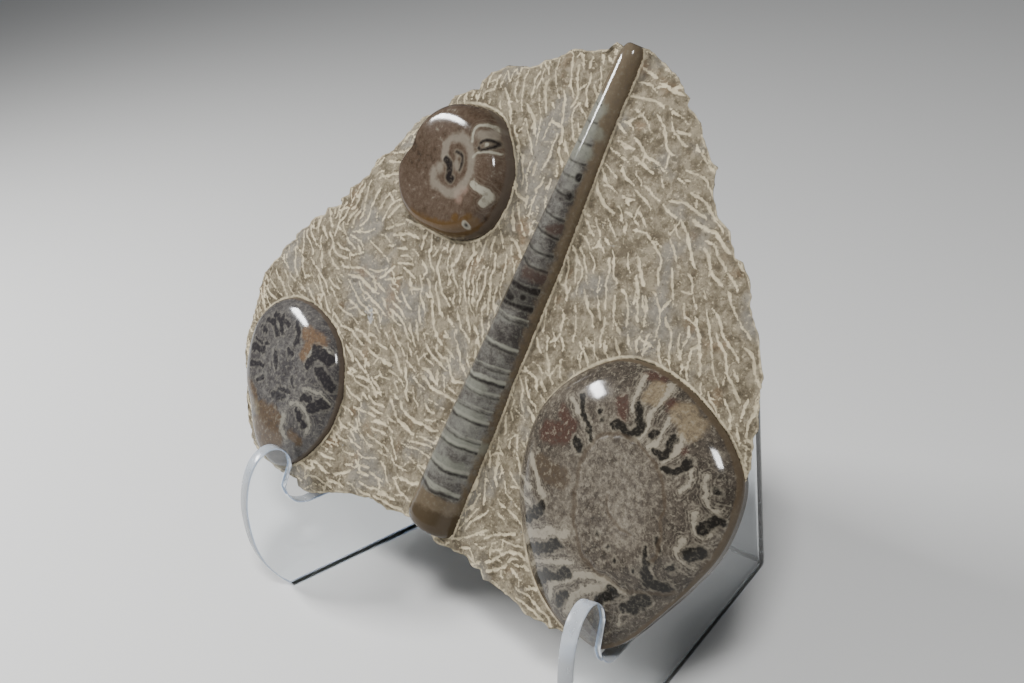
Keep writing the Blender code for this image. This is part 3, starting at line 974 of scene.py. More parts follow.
# --- the slab -------------------------------------------------------------------------------
class CarvingTree(Nodes):
    """A node tree that carves grooves along lines into a surface and keeps their profile."""

    def __init__(self, name: str) -> None:
        """Build the tree with its named inputs."""
        self.tree = bpy.data.node_groups.new(name, "GeometryNodeTree")
        self.sockets = {}
        for title, kind, way in (("Surface", "Geometry", "INPUT"), ("Paths", "Object", "INPUT"),
                                 ("Depth", "Float", "INPUT"), ("Lip", "Float", "INPUT"),
                                 ("Raggedness", "Float", "INPUT"), ("Outward", "Vector", "INPUT"),
                                 ("Finish", "Material", "INPUT"), ("Carved", "Geometry", "OUTPUT")):
            made = self.tree.interface.new_socket(title, in_out=way,
                                                  socket_type="NodeSocket" + kind)
            self.sockets[title] = made.identifier
        self.build()

    def kept(self, name: str) -> bpy.types.NodeSocket:
        """The value kept on the mesh under a name."""
        return self.node("GeometryNodeInputNamedAttribute", {"Name": name},
                         data_type="FLOAT").outputs["Attribute"]

    def build(self) -> None:
        """Join the nodes: distance to a path, over its half-width, gives the groove's profile."""
        given = self.node("NodeGroupInput").outputs
        paths = self.node("GeometryNodeObjectInfo", {"Object": given["Paths"]},
                          transform_space="ORIGINAL").outputs["Geometry"]
        near = self.node("GeometryNodeProximity", {0: paths}, target_element="EDGES")
        place = self.node("GeometryNodeInputPosition").outputs["Position"]
        nearest = self.node("GeometryNodeSampleNearest",
                            {"Geometry": paths, "Sample Position": place}, domain="POINT")
        width = self.node("GeometryNodeSampleIndex",
                          {"Geometry": paths, "Value": self.kept("half_width"),
                           "Index": nearest.outputs["Index"]}, data_type="FLOAT", domain="POINT")
        over = self.math("DIVIDE", near.outputs["Distance"], width.outputs["Value"])
        rough = self.node("ShaderNodeTexNoise", {"Scale": 1000.0 / 1.7, "Detail": 3.0,
                                                 "Vector": place})
        wander = self.math("MULTIPLY_ADD", rough.outputs["Fac"], given["Raggedness"], over)
        level = self.math("MULTIPLY_ADD", given["Raggedness"], -0.5, wander)
        groove = self.step(level, 0.15, 1.35, 1.0, 0.0)
        lip = self.step(level, 1.1, 2.6, 1.0, 0.0)
        workable = self.kept("workable")
        height = self.math("SUBTRACT", self.times(lip, given["Lip"]),
                           self.times(groove, given["Depth"]))
        move = self.node("ShaderNodeVectorMath",
                         {0: given["Outward"], "Scale": self.times(height, workable)},
                         operation="SCALE")
        kept = self.node("GeometryNodeStoreNamedAttribute",
                         {"Name": "groove", "Geometry": given["Surface"],
                          "Value": self.times(groove, workable)},
                         data_type="FLOAT", domain="POINT")
        moved = self.node("GeometryNodeSetPosition", {"Geometry": kept.outputs["Geometry"],
                                                      "Offset": move.outputs[0]})
        real = self.node("GeometryNodeRealizeInstances", {0: moved.outputs["Geometry"]})
        dressed = self.node("GeometryNodeSetMaterial", {"Geometry": real.outputs[0],
                                                        "Material": given["Finish"]})
        self.node("NodeGroupOutput", {"Carved": dressed.outputs["Geometry"]})

    def carve(self, piece: bpy.types.Object, values: dict[str, object]) -> None:
        """Run the tree on a piece and keep the result as its plain mesh.

        Args:
            piece: The surface to carve.
            values: The inputs by name.
        """
        step = piece.modifiers.new("carving", "NODES")
        step.node_group = self.tree
        for name, value in values.items():
            step[self.sockets[name]] = value
        ready = piece.evaluated_get(bpy.context.evaluated_depsgraph_get())
        carved = bpy.data.meshes.new_from_object(ready)
        piece.modifiers.remove(step)
        plain = piece.data
        piece.data = carved
        bpy.data.meshes.remove(plain)
        carved.name = piece.name


@dataclass
class ToolMarks:
    """Short wavy chisel strokes that follow a direction field over the face."""

    directions: tuple[tuple[float, float, float], ...]
    spacing_left: float = 2.7
    spacing_right: float = 3.0
    lengths: Point = (4.0, 30.0)
    widths: Point = (0.32, 0.86)
    fork_chance: float = 0.55
    fork_lengths: Point = (2.5, 8.0)
    fork_width: float = 0.85
    fork_turn: Point = (0.45, 1.05)
    fork_sway: float = 0.22
    step: float = 0.8
    usual_width: float = 0.45
    least_points: int = 4
    closeness: float = 0.62
    field_reach: float = 20.0
    drift: float = 0.85
    drift_size: float = 11.0
    turning: float = 0.30
    swaying: float = 0.36
    sway_size: float = 3.4
    across: Point = (-146.0, 124.0)
    up: Point = (-10.0, 201.0)
    cell: float = 5.2
    tries: int = 9000
    late: float = 0.7
    late_length: float = 0.45
    seed: int = 23

    def angle(self, x: float, y: float) -> float:
        """Direction of the strokes at a place, in radians."""
        turn_x = turn_y = 0.0
        for at_x, at_y, degrees in self.directions:
            weight = 1.0 / (self.field_reach + (x - at_x) ** 2 + (y - at_y) ** 2) ** 2
            turn_x += weight * math.cos(math.radians(2.0 * degrees))
            turn_y += weight * math.sin(math.radians(2.0 * degrees))
        drift = self.drift * noise_at(x, y, self.drift_size, 5.1)
        return 0.5 * math.atan2(turn_y, turn_x) + drift

    def spacing(self, x: float, y: float) -> float:
        """Gap between neighbouring strokes at a place."""
        right = float(smooth_step(0.0, 40.0, x))
        sparse = float(smooth_step(52.0, 70.0, x) * smooth_step(95.0, 120.0, y))
        gap = self.spacing_left + (self.spacing_right - self.spacing_left) * right + 0.9 * sparse
        return gap * (1.0 + 0.30 * noise_at(x, y, 8.0, 2.2))

    def trace(self, allowed: Callable[[float, float], bool]) -> list[tuple[list[Point], float]]:
        """Lay a stroke wherever one of the tries finds room for it.

        Args:
            allowed: Whether the tool reaches a place.

        Returns:
            Each stroke's points and half-width.
        """
        dice = random.Random(self.seed)
        cells: dict[tuple[int, int], list[Point]] = {}

        def crowded(x: float, y: float, gap: float) -> bool:
            """Whether another stroke runs within a gap of a place."""
            column, row = int(x // self.cell), int(y // self.cell)
            return any(math.dist((x, y), other) < gap
                       for i in (-1, 0, 1) for j in (-1, 0, 1)
                       for other in cells.get((column + i, row + j), ()))

        strokes = []
        for attempt in range(self.tries):
            x, y = dice.uniform(*self.across), dice.uniform(*self.up)
            gap = self.spacing(x, y)
            if not allowed(x, y) or crowded(x, y, gap):
                continue
            eager = 1.0 if attempt < self.late * self.tries else self.late_length
            length = dice.uniform(*self.lengths) * eager
            line = [(x, y)]
            for sense in (1.0, -1.0):
                px, py = x, y
                heading = self.angle(px, py) + (0.0 if sense > 0 else math.pi)
                wobble = dice.uniform(0.0, 50.0)
                for _ in range(int(0.5 * length / self.step)):
                    target = self.angle(px, py)
                    turn = (target - heading + 0.5 * math.pi) % math.pi - 0.5 * math.pi
                    wander = noise_at(px, py, self.sway_size, wobble)
                    heading += self.turning * turn + self.swaying * wander
                    px += self.step * math.cos(heading)
                    py += self.step * math.sin(heading)
                    if not allowed(px, py) or crowded(px, py, self.closeness * gap):
                        break
                    line = line + [(px, py)] if sense > 0 else [(px, py)] + line
            if len(line) < self.least_points:
                continue
            for px, py in line:
                cells.setdefault((int(px // self.cell), int(py // self.cell)), []).append((px, py))
            width = dice.triangular(*self.widths, self.usual_width)
            strokes.append((line, width))
            if dice.random() < self.fork_chance:
                strokes.append((self.fork(line, dice, allowed), self.fork_width * width))
        return strokes

    def fork(self, line: list[Point], dice: random.Random,
             allowed: Callable[[float, float], bool]) -> list[Point]:
        """A short stroke that leaves another at an angle.

        Args:
            line: The stroke it leaves.
            dice: Where chance comes from.
            allowed: Whether the tool reaches a place.

        Returns:
            The fork's points.
        """
        x, y = line[dice.randrange(1, len(line) - 1)]
        heading = self.angle(x, y) + dice.choice((-1.0, 1.0)) * dice.uniform(*self.fork_turn)
        heading += dice.choice((0.0, math.pi))
        branch = [(x, y)]
        for _ in range(int(dice.uniform(*self.fork_lengths) / self.step)):
            heading += dice.uniform(-self.fork_sway, self.fork_sway)
            x += self.step * math.cos(heading)
            y += self.step * math.sin(heading)
            if not allowed(x, y):
                break
            branch.append((x, y))
        return branch


@dataclass
class MatrixSlab:
    """The chiselled limestone slab that carries the fossils."""

    node: str
    slot: str
    rim: list[Point]
    marks: ToolMarks
    finish: LimestoneFinish
    centre: Point = (0.0, 92.0)
    undercut: float = 19.0
    undercut_at_foot: float = 7.0
    undercut_steps: tuple[Point, ...] = ((0.0, 0.0), (4.0, 0.18), (12.0, 0.55), (22.0, 1.0))
    depths: tuple[float, ...] = (0.7, 1.6, 3.0, 5.0, 7.5, 10.0, 13.0, 16.0, 19.0, 22.0)
    pitch: float = 0.62
    coarse_pitch: float = 4.0
    scatter: float = 0.14
    scatter_seed: int = 5
    chip: float = 0.9
    chip_spacing: float = 0.85
    pocket: float = 3.4
    groove_depth: float = 0.70
    groove_lip: float = 0.45
    groove_raggedness: float = 1.8
    bruise: Point = (-68.0, 76.0)

    def chipped_rim(self) -> np.ndarray:
        """The rim's outline with its small chips, drawn inwards only."""
        corners = np.array(self.rim, float)
        line = []
        for start, end in zip(corners, np.roll(corners, -1, axis=0)):
            count = max(1, round(float(np.hypot(*(end - start))) / self.chip_spacing))
            line += [start + (end - start) * i / count for i in range(count)]
        line = np.array(line)
        bite = 0.5 + 0.5 * ripple(line, 2.6, 4.4)
        bite += 0.6 * np.abs(ripple(line, 6.5, 7.7))
        return line + self.inward(line) * (self.chip * bite)[:, None]

    def inward(self, line: np.ndarray) -> np.ndarray:
        """One millimetre towards the slab's middle from each point of a line."""
        way = np.array(self.centre) - line
        return way / np.hypot(*way.T)[:, None]

    def relief(self, places: np.ndarray, rim_gap: np.ndarray) -> np.ndarray:
        """Height of the face: broad waves, lumps, tool facets and a dropped rim.

        Args:
            places: Places on the face, one row each.
            rim_gap: Distance of each from the rim.

        Returns:
            Heights in millimetres.
        """
        x, y = places[:, 0], places[:, 1]
        broad = 1.5 * ripple(places, 36.0, 3.1)
        lumps = 1.1 * ripple(places, 12.0, 8.7, 1.25)
        knapped = smooth_step(50, 75, x) * smooth_step(80, 110, y)
        share = np.clip(rim_gap / (7.0 * (1.0 + 0.7 * knapped)), 0.0, 1.0)
        drop = 1.2 * (1.0 + 0.5 * knapped) * (1.0 - share * share * (3.0 - 2.0 * share))
        fine = 0.75 * ripple(places, 4.6, 11.3) + 0.45 * ripple(places, 2.1, 12.9)
        scallop = 0.8 * ripple(places, 5.0, 15.1) * (1.0 - smooth_step(0.0, 6.0, rim_gap))
        lowered = 0.6 * smooth_step(184.0, 196.0, y)
        return broad + lumps - drop + fine + scallop - lowered

    def face_places(self, rim: np.ndarray, beds: list[np.ndarray]) -> np.ndarray:
        """Places for the face's points: close together, but sparse under the fossils.

        Args:
            rim: The chipped rim.
            beds: The fossils' outlines.

        Returns:
            Places, one row each.
        """
        low, high = rim.min(axis=0), rim.max(axis=0)

        def grid(pitch: float) -> np.ndarray:
            """A staggered grid over the rim's box."""
            rows = np.arange(low[1], high[1], pitch * 0.866)
            columns = np.arange(low[0], high[0], pitch)
            x, y = np.meshgrid(columns, rows)
            x = x + 0.5 * pitch * (np.arange(len(rows)) % 2)[:, None]
            return np.column_stack([x.ravel(), y.ravel()])

        def covered(places: np.ndarray, margin: float) -> np.ndarray:
            """Which places lie under a fossil by more than a margin."""
            under = np.zeros(len(places), bool)
            for bed in beds:
                near = np.all((places > bed.min(axis=0)) & (places < bed.max(axis=0)), axis=1)
                under[near] |= outline_distance(places[near], bed) < -margin
            return under

        dice = np.random.default_rng(self.scatter_seed)
        fine = grid(self.pitch)
        fine += dice.uniform(-self.scatter, self.scatter, fine.shape) * self.pitch
        fine = fine[inside(fine, rim)]
        fine = fine[~covered(fine, 1.5)]
        coarse = grid(self.coarse_pitch)
        coarse = coarse[inside(coarse, rim)]
        coarse = coarse[covered(coarse, 2.2)]
        places = np.vstack([fine, coarse])
        tree = nearest_among(rim)
        clear = [tree.find((x, y, 0.0))[2] > 0.5 * self.pitch for x, y in places.tolist()]
        return places[np.array(clear)]

    def ring(self, rim: np.ndarray, depth: float) -> np.ndarray:
        """The knapped side's outline at a depth below the face.

        Args:
            rim: The chipped rim.
            depth: Millimetres below the face.

        Returns:
            The ring's points.
        """
        share = read_off(self.undercut_steps, depth)
        reach = smooth_step(8.0, 45.0, rim[:, 1])
        full = self.undercut_at_foot + (self.undercut - self.undercut_at_foot) * reach
        chips, small = ripple(rim, 9.0, depth / 7.0), ripple(rim, 3.0, depth / 2.5)
        drawn = full * share * (1.0 + 0.35 * chips * reach) + 0.35 * small * min(1.0, depth)
        moved = rim + self.inward(rim) * np.maximum(0.0, drawn)[:, None]
        return np.column_stack([moved, np.full(len(rim), -depth)])

    def build(self, beds: list[np.ndarray]) -> bpy.types.Object:
        """Make the slab, carve its tool marks and dress it.

        Args:
            beds: Outlines of the fossils let into it.

        Returns:
            The finished piece.
        """
        rim = self.chipped_rim()
        count = len(rim)
        places, faces = filled(np.vstack([rim, self.face_places(rim, beds)]), count)
        corners = np.array(self.rim, float)
        rim_gap = np.abs(line_distance(places, np.vstack([corners, corners[:1]])))
        heights = self.relief(places, rim_gap)
        bed_gap = np.min([outline_distance(places, bed) for bed in beds], axis=0)
        moat = smooth_step(4.0, 0.6, bed_gap)
        heights = heights * (1.0 - 0.55 * moat) - 0.35 * moat
        heights = np.where(bed_gap < -0.25, -self.pocket, heights)
        top = np.column_stack([places, heights])
        rings = [self.ring(rim, depth) for depth in self.depths]
        rings[0][:, 2] += np.minimum(heights[:count] + 0.5, 0.4)
        points = np.vstack([top, *rings])
        starts = [0] + [len(top) + i * count for i in range(len(rings))]
        for low, high in zip(starts, starts[1:]):
            faces += ring_faces(low, high, count)
        faces += [tuple(starts[-1] + corner for corner in face)
                  for face in filled(rings[-1][:, :2], count)[1]]
        piece = solid(self.node + "_chiselled", PLANE.place(points), faces)
        side = np.zeros(count * len(rings))
        face_share = smooth_step(0.0, 0.8, rim_gap) * smooth_step(-0.3, 0.2, bed_gap)
        store(piece, "workable", np.concatenate([face_share, side]))
        edge = np.maximum(smooth_step(2.2, 0.2, rim_gap),
                          smooth_step(2.0, 0.5, np.abs(bed_gap)))
        store(piece, "edge", np.concatenate([edge, side]))
        bruise = smooth_step(6.5, 1.0, np.hypot(*(places - np.array(self.bruise)).T))
        store(piece, "chalk", np.concatenate([bruise, side]))
        paths = self.paths(beds, corners, places, heights)
        CarvingTree("chisel_carving").carve(piece, {
            "Paths": paths, "Depth": self.groove_depth * MM, "Lip": self.groove_lip * MM,
            "Raggedness": self.groove_raggedness, "Outward": tuple(PLANE.axes()[2].tolist()),
            "Finish": self.finish.make()})
        bpy.data.objects.remove(paths)
        settle(piece, self.node)
        return piece

    def paths(self, beds: list[np.ndarray], corners: np.ndarray, places: np.ndarray,
              heights: np.ndarray) -> bpy.types.Object:
        """The strokes as loose lines lying on the face.

        Args:
            beds: The fossils' outlines.
            corners: The rim's corners.
            places: The face's places.
            heights: The face's heights there.

        Returns:
            An object of edges that keeps each point's half-width.
        """
        low = corners.min(axis=0) - 2.0
        size = np.ceil(corners.max(axis=0) + 2.0 - low).astype(int)
        x, y = np.meshgrid(np.arange(size[0]), np.arange(size[1]), indexing="ij")
        centres = np.column_stack([x.ravel(), y.ravel()]) + low
        open_face = outline_distance(centres, corners) < 0.3
        for bed in beds:
            open_face &= outline_distance(centres, bed) > 0.9
        open_face = open_face.reshape(tuple(size))

        def allowed(at_x: float, at_y: float) -> bool:
            """Whether a place is on the open face, to the millimetre."""
            column, row = round(at_x - low[0]), round(at_y - low[1])
            return 0 <= column < size[0] and 0 <= row < size[1] and bool(open_face[column, row])

        tree = nearest_among(places)
        points, edges, widths = [], [], []
        for line, width in self.marks.trace(allowed):
            start = len(points)
            for i, (at_x, at_y) in enumerate(line):
                taper = min(1.0, 0.45 + 0.35 * min(i, len(line) - 1 - i))
                uneven = 1.0 + 0.75 * noise_at(at_x, at_y, 1.9, 9.9)
                points.append((at_x, at_y, heights[tree.find((at_x, at_y, 0.0))[1]]))
                widths.append(width * taper * uneven * MM)
            edges += [(i, i + 1) for i in range(start, len(points) - 1)]
        mesh = bpy.data.meshes.new("stroke_paths")
        mesh.from_pydata(PLANE.place(np.array(points)).tolist(), edges, [])
        made = placed("stroke_paths", mesh)
        store(made, "half_width", np.array(widths))
        LOG.info("%d chisel strokes", len(points) - len(edges))
        return made


# --- the stand ------------------------------------------------------------------------------
@dataclass
class AcrylicStand:
    """One clear sheet, trimmed flat and then bent into a back panel and two hooked wings."""

    node: str
    slot: str
    finish: AcrylicFinish
    edge_finish: AcrylicFinish
    middle: float = -3.0
    sheet: float = 6.0
    outline_step: float = 2.0
    half_width: float = 67.5
    bend_radius: float = 8.0
    splay: float = math.radians(10.0)
    foot: float = 135.0
    seat: float = 37.4
    rest_offset: float = -22.3
    hook_gap: float = 6.5
    peak: Point = (38.0, 138.0)
    panel_top: float = 70.0
    dip_half: float = 57.0
    dip_round: float = 10.0
    hook: tuple[Point, ...] = ((135, 0), (141, 8), (145.8, 17), (148.6, 28), (149.0, 42),
                               (147.2, 52), (144, 60), (139.5, 65.5), (133.5, 68),
                               (128.5, 66.5), (125.4, 62))
    notch: tuple[Point, ...] = ((128.6, 43.5), (125.6, 39.6), (121, 37.7))
    back_round: tuple[Point, ...] = ((4.5, 85), (1.3, 79), (0, 74))
    edge_round: tuple[Point, ...] = ((1.2, 3.0), (0.55, 3.0), (0.16, 2.86), (0.0, 2.5))

    def leaning(self, offset: float, height: float) -> Point:
        """A profile point on a line parallel to the slab's face.

        Args:
            offset: Distance in front of the face.
            height: Height above the floor.

        Returns:
            Forward along the wing, and height.
        """
        _, face_y, face_z = PLANE.origin
        ahead = -face_y + offset / math.cos(PLANE.lean) + (face_z - height) * math.tan(PLANE.lean)
        return ahead / math.cos(self.splay), height

    def blank(self) -> np.ndarray:
        """The trimmed sheet's outline before it is bent: along the sheet and up.

        Returns:
            The closed outline, counter-clockwise.
        """
        hook = spline([*self.hook, self.leaning(self.hook_gap, 57.0)], 8, False)
        notch = spline([self.leaning(self.hook_gap, 48.0), *self.notch], 8, False)
        rest = self.leaning(self.rest_offset, self.peak[1])
        crown = self.peak[1] + 3.0
        peak = spline([rest, (rest[0] - 3.0, crown), (self.peak[0] + 3.0, crown), self.peak],
                      6, False)
        seat = np.array([self.leaning(self.rest_offset, self.seat)])
        profile = np.vstack([hook, notch, seat, peak])
        along = profile[:, 0] + self.straight() + self.arc() - self.wing_start()
        wing = np.column_stack([along, profile[:, 1]])
        rounds = spline(self.back_round, 8, False)[::-1]
        steps = np.linspace(1.0, 0.0, 15)
        ahead = (5.0 - 5.0 * np.sin(0.5 * math.pi - steps * self.turn())) / math.cos(self.splay)
        bend = np.column_stack([self.straight() + steps * self.arc(),
                                np.interp(ahead, rounds[:, 0], rounds[:, 1])])
        swing = np.linspace(math.asin(0.6), 0.5 * math.pi, 10)
        dip = np.column_stack([self.dip_half - self.dip_round * (1.0 - np.cos(swing)),
                               self.panel_top + self.dip_round * (1.0 - np.sin(swing))])
        right = np.vstack([wing, bend, dip])
        left = right[::-1] * np.array([-1.0, 1.0])
        return self.evened(np.vstack([right, left]))

    def turn(self) -> float:
        """Angle of each bend."""
        return 0.5 * math.pi - self.splay

    def straight(self) -> float:
        """Half-length of the panel up to its bend."""
        return self.half_width - self.bend_radius * math.tan(0.5 * self.turn())

    def arc(self) -> float:
        """Length of a bend along the sheet's middle."""
        return (self.bend_radius - 0.5 * self.sheet) * self.turn()

    def wing_start(self) -> float:
        """Forward distance at which a wing's flat part starts."""
        radius = self.bend_radius - 0.5 * self.sheet
        return (radius - radius * math.sin(self.splay)) / math.cos(self.splay)

    def evened(self, outline: np.ndarray) -> np.ndarray:
        """The outline with its long edges split."""
        line = []
        for start, end in zip(outline, np.roll(outline, -1, axis=0)):
            length = float(np.hypot(*(end - start)))
            if length < 0.05:
                continue
            count = max(1, math.ceil(length / self.outline_step))
            line += [start + (end - start) * i / count for i in range(count)]
        return np.array(line)

    def bent(self, flat: np.ndarray) -> np.ndarray:
        """Bend the sheet: along, up and out of its middle become the stand's own frame.

        Args:
            flat: Along the sheet, up, and out from its middle, one row each.

        Returns:
            Across, back and up, one row each, in millimetres.
        """
        side = np.where(flat[:, 0] < 0.0, -1.0, 1.0)
        along = np.abs(flat[:, 0]) - self.straight()
        inner = self.bend_radius - 0.5 * self.sheet
        in_bend = np.clip(along, 0.0, self.arc())
        angle = 0.5 * math.pi - in_bend / inner
        reach = inner + flat[:, 2]
        x = self.straight() + reach * np.cos(angle)
        y = -inner + reach * np.sin(angle)
        x = np.where(along < 0.0, np.abs(flat[:, 0]), x)
        y = np.where(along < 0.0, flat[:, 2], y)
        beyond = np.maximum(0.0, along - self.arc())
        x = x + beyond * math.sin(self.splay)
        y = y - beyond * math.cos(self.splay)
        return np.column_stack([self.middle + side * x, y, flat[:, 1]])

    def build(self) -> bpy.types.Object:
        """Make the stand and dress it.

        Returns:
            The finished piece.
        """
        outline = self.blank()
        count = len(outline)
        back, ahead = np.roll(outline, 1, axis=0), np.roll(outline, -1, axis=0)

        def left_of(edge: np.ndarray) -> np.ndarray:
            """Unit normals to the left of each edge."""
            length = np.hypot(*edge.T)[:, None]
            return np.column_stack([-edge[:, 1], edge[:, 0]]) / length

        inward = left_of(outline - back) + left_of(ahead - outline)
        inward /= np.maximum(0.5, np.sum(inward * left_of(outline - back), axis=1))[:, None]
        rings = [*self.edge_round, *((inset, -height) for inset, height in self.edge_round[::-1])]
        points = [np.column_stack([outline + inset * inward, np.full(count, height)])
                  for inset, height in rings]
        faces = []
        for low in range(0, count * (len(rings) - 1), count):
            faces += ring_faces(low, low + count, count)
        extra = self.bend_places(outline)
        cap = np.vstack([outline + self.edge_round[0][0] * inward, extra])
        flat, caps = filled(cap, count)
        start = count * len(rings)
        spread = flat[count:]
        for height, first in ((0.5 * self.sheet, 0), (-0.5 * self.sheet, count * (len(rings) - 1))):
            points.append(np.column_stack([spread, np.full(len(spread), height)]))
            faces += [tuple(first + i if i < count else start + i - count for i in corner)
                      for corner in caps]
            start += len(spread)
        places = self.bent(np.vstack(points)) + PLANE.shift()
        piece = solid(self.node + "_bent", places * MM, faces)
        sides = count * (len(rings) - 1)
        sawn = [int(i < sides and 0 < i // count < len(rings) - 2) for i in range(len(faces))]
        piece.data.materials.append(self.finish.make())
        piece.data.materials.append(self.edge_finish.make())
        piece.data.polygons.foreach_set("material_index", sawn)
        piece.data.set_sharp_from_angle(angle=SHARP)
        settle(piece, self.node)
        return piece

    def bend_places(self, outline: np.ndarray) -> np.ndarray:
        """Extra places inside the outline, in columns close together over the bends."""
        columns = [-0.7, *np.linspace(0.0, self.arc(), 13), self.arc() + 0.7]
        heights = np.arange(1.5, 90.0, 1.5)
        x, z = np.meshgrid(np.array(columns) + self.straight(), heights)
        right = np.column_stack([x.ravel(), z.ravel()])
        places = np.vstack([right, right * np.array([-1.0, 1.0])])
        return places[outline_distance(places, outline) < -1.6]


# --- the studio -----------------------------------------------------------------------------
@dataclass(frozen=True)
class SoftLight:
    """A panel of light that looks at the object from a bearing and a height."""

    name: str
    bearing: float
    height: float
    panel: Point
    watts: float
    colour: Colour = (1.0, 1.0, 1.0)
    distance: float = 0.95

    def place(self, target: Vector) -> None:
        """Set the light up, aimed at a target.

        Args:
            target: What it looks at, in metres.
        """
        turn, lift = math.radians(self.bearing), math.radians(self.height)
        toward = Vector((math.sin(turn) * math.cos(lift), -math.cos(turn) * math.cos(lift),
                         math.sin(lift)))
        lamp = bpy.data.lights.new(self.name, "AREA")
        lamp.shape = "RECTANGLE"
        lamp.size, lamp.size_y = self.panel
        lamp.energy = self.watts
        lamp.color = self.colour
        item = placed(self.name, lamp)
        item.location = target + toward * self.distance
        item.rotation_euler = toward.to_track_quat("Z", "Y").to_euler()


@dataclass
class Studio:
    """Pale floor, soft light and the camera."""

    lights: tuple[SoftLight, ...]
    eye: Place = (343.6, -390.4, 346.8)
    turn: Place = (-26.119, 6.458, 47.059)
    lens: float = 47.89
    film: float = 36.0
    nearest: float = 0.01
    lit_place: Place = (0.0, 0.0, 0.11)
    floor_reach: float = 4.0
    floor_colour: Colour = (0.72, 0.72, 0.71)
    floor_roughness: float = 0.75
    sky: Colour = (0.72, 0.74, 0.77)
    sky_strength: float = 0.20

    def build(self) -> None:
        """Make the floor, the sky, the lights and the camera."""
        mesh = bpy.data.meshes.new("studio_floor")
        far = self.floor_reach
        mesh.from_pydata([(-far, -far, 0), (far, -far, 0), (far, far, 0), (-far, far, 0)], [],
                         [(0, 1, 2, 3)])
        paint = Painter("studio_floor_pale", self.floor_colour)
        mesh.materials.append(paint.finish(Roughness=self.floor_roughness))
        floor = placed("studio_floor", mesh)
        world = bpy.data.worlds.new("studio_sky")
        world.use_nodes = True
        sky = world.node_tree.nodes["Background"].inputs
        sky["Color"].default_value = (*self.sky, 1.0)
        sky["Strength"].default_value = self.sky_strength
        bpy.context.scene.world = world
        for light in self.lights:
            light.place(Vector(self.lit_place))
        self.camera()

    def camera(self) -> None:
        """Set the camera: its turn is pitch, roll and yaw in degrees."""
        pitch, roll, yaw = (math.radians(angle) for angle in self.turn)
        aim = (Matrix.Rotation(yaw, 3, "Z") @ Matrix.Rotation(pitch, 3, "X")
               @ Matrix.Rotation(roll, 3, "Y"))
        right, ahead, up = aim.col
        lens = bpy.data.cameras.new("main_camera")
        lens.lens = self.lens
        lens.sensor_width = self.film
        lens.clip_start = self.nearest
        eye = (np.array(self.eye) + PLANE.shift()) * MM
        item = placed("main_camera", lens)
        turned = Matrix((right, up, -ahead)).transposed().to_4x4()
        item.matrix_world = Matrix.Translation(Vector(eye.tolist())) @ turned
        bpy.context.scene.camera = item


# --- what is drawn on the pieces ------------------------------------------------------------
def band(width: float, *places: Point) -> Streak:
    """A streak of one half-width through places."""
    return Streak(width, width, places)


SLAB_RIM: list[Point] = [
    (-125, 3), (-128.5, 6.5), (-131, 10), (-134, 14), (-136.5, 18.5), (-139, 25), (-141, 31.5),
    (-143, 36), (-145, 40.5), (-144.5, 53), (-144, 60), (-144.5, 71.5), (-144, 77.5),
    (-140.5, 82.5), (-136.5, 87), (-135.5, 90.5), (-130, 95.5), (-127.5, 97), (-127.5, 99.5),
    (-125, 102), (-119, 105.5), (-117.5, 108.5), (-111.5, 110.5), (-109.5, 114), (-101.5, 117),
    (-102, 119.5), (-98, 122), (-97.5, 125), (-88.5, 132), (-86, 139), (-80.5, 143),
    (-73, 150), (-69, 156.5), (-64, 160), (-59.5, 161.5), (-51.5, 166), (-49, 170.5),
    (-37, 175), (-36.5, 177.5), (-32, 182), (-23.5, 185.5), (-17, 186.5), (-13, 186),
    (-8.5, 187.5), (-6.5, 189.5), (-2, 190.5), (6.5, 195), (14, 195.5), (21.5, 197),
    (24.5, 200), (30.5, 198), (33.5, 199), (40.5, 198.5), (50, 193.5), (54, 192), (62.5, 184),
    (63, 181.5), (69.5, 176.5), (77.5, 164.5), (81.5, 162.5), (81.5, 156), (85.5, 147.5),
    (92, 143), (96.5, 135), (99.5, 134), (103, 130), (107, 124), (107, 121), (111.5, 114.5),
    (115.5, 104), (118, 99.5), (118.5, 94), (121.5, 83.5), (120.5, 80), (122, 70.5),
    (121, 62.5), (121, 54), (118, 45), (112, 29), (102, 15), (92, 2), (86, -4), (80, -6),
    (70, -7), (62, -8.5), (59, -9.5), (56.5, -8.5), (47.5, -8.5), (38.5, -5.5), (29, -4),
    (24, -4), (21.5, -1), (17, -1), (14, 1), (2.5, 0.5), (-4, 0.5), (-9, 2.5), (-17.5, 5),
    (-26.5, 5), (-35, 3.5), (-43.5, 5), (-60, 2), (-70, -1), (-80, -4.5), (-86, -5.5),
    (-91, -5.5), (-93, -2.5), (-109, -1.5), (-117, 0)]

LARGE_OUTLINE: list[Point] = [
    (122, 54), (121, 66), (114, 76), (103, 84), (90, 90), (76, 93), (63, 92), (50, 85),
    (40, 76), (33, 65), (31, 52), (32, 38), (37, 22), (45, 9), (55, 0), (68, -6), (81, -7),
    (92, 0), (103, 14), (112, 27), (119, 40)]
SMALL_OUTLINE: list[Point] = [
    (-74, 37), (-75, 47), (-79, 57), (-86, 65), (-97, 71), (-109, 73), (-119, 72), (-129, 67),
    (-136, 59), (-138, 50), (-137, 40), (-134, 31), (-127, 22), (-123, 12), (-118, 5),
    (-110, 1), (-101, 2), (-92, 6), (-83, 15), (-77, 25)]
GONIATITE_OUTLINE: list[Point] = [
    (-7, 139), (-8, 148), (-13, 157), (-20, 165), (-31, 168), (-43, 167), (-52, 162),
    (-57, 155), (-57.5, 148), (-61, 144), (-64.5, 138), (-62, 130), (-57, 123), (-48, 118),
    (-37, 116), (-26, 116), (-15, 121), (-9, 130)]

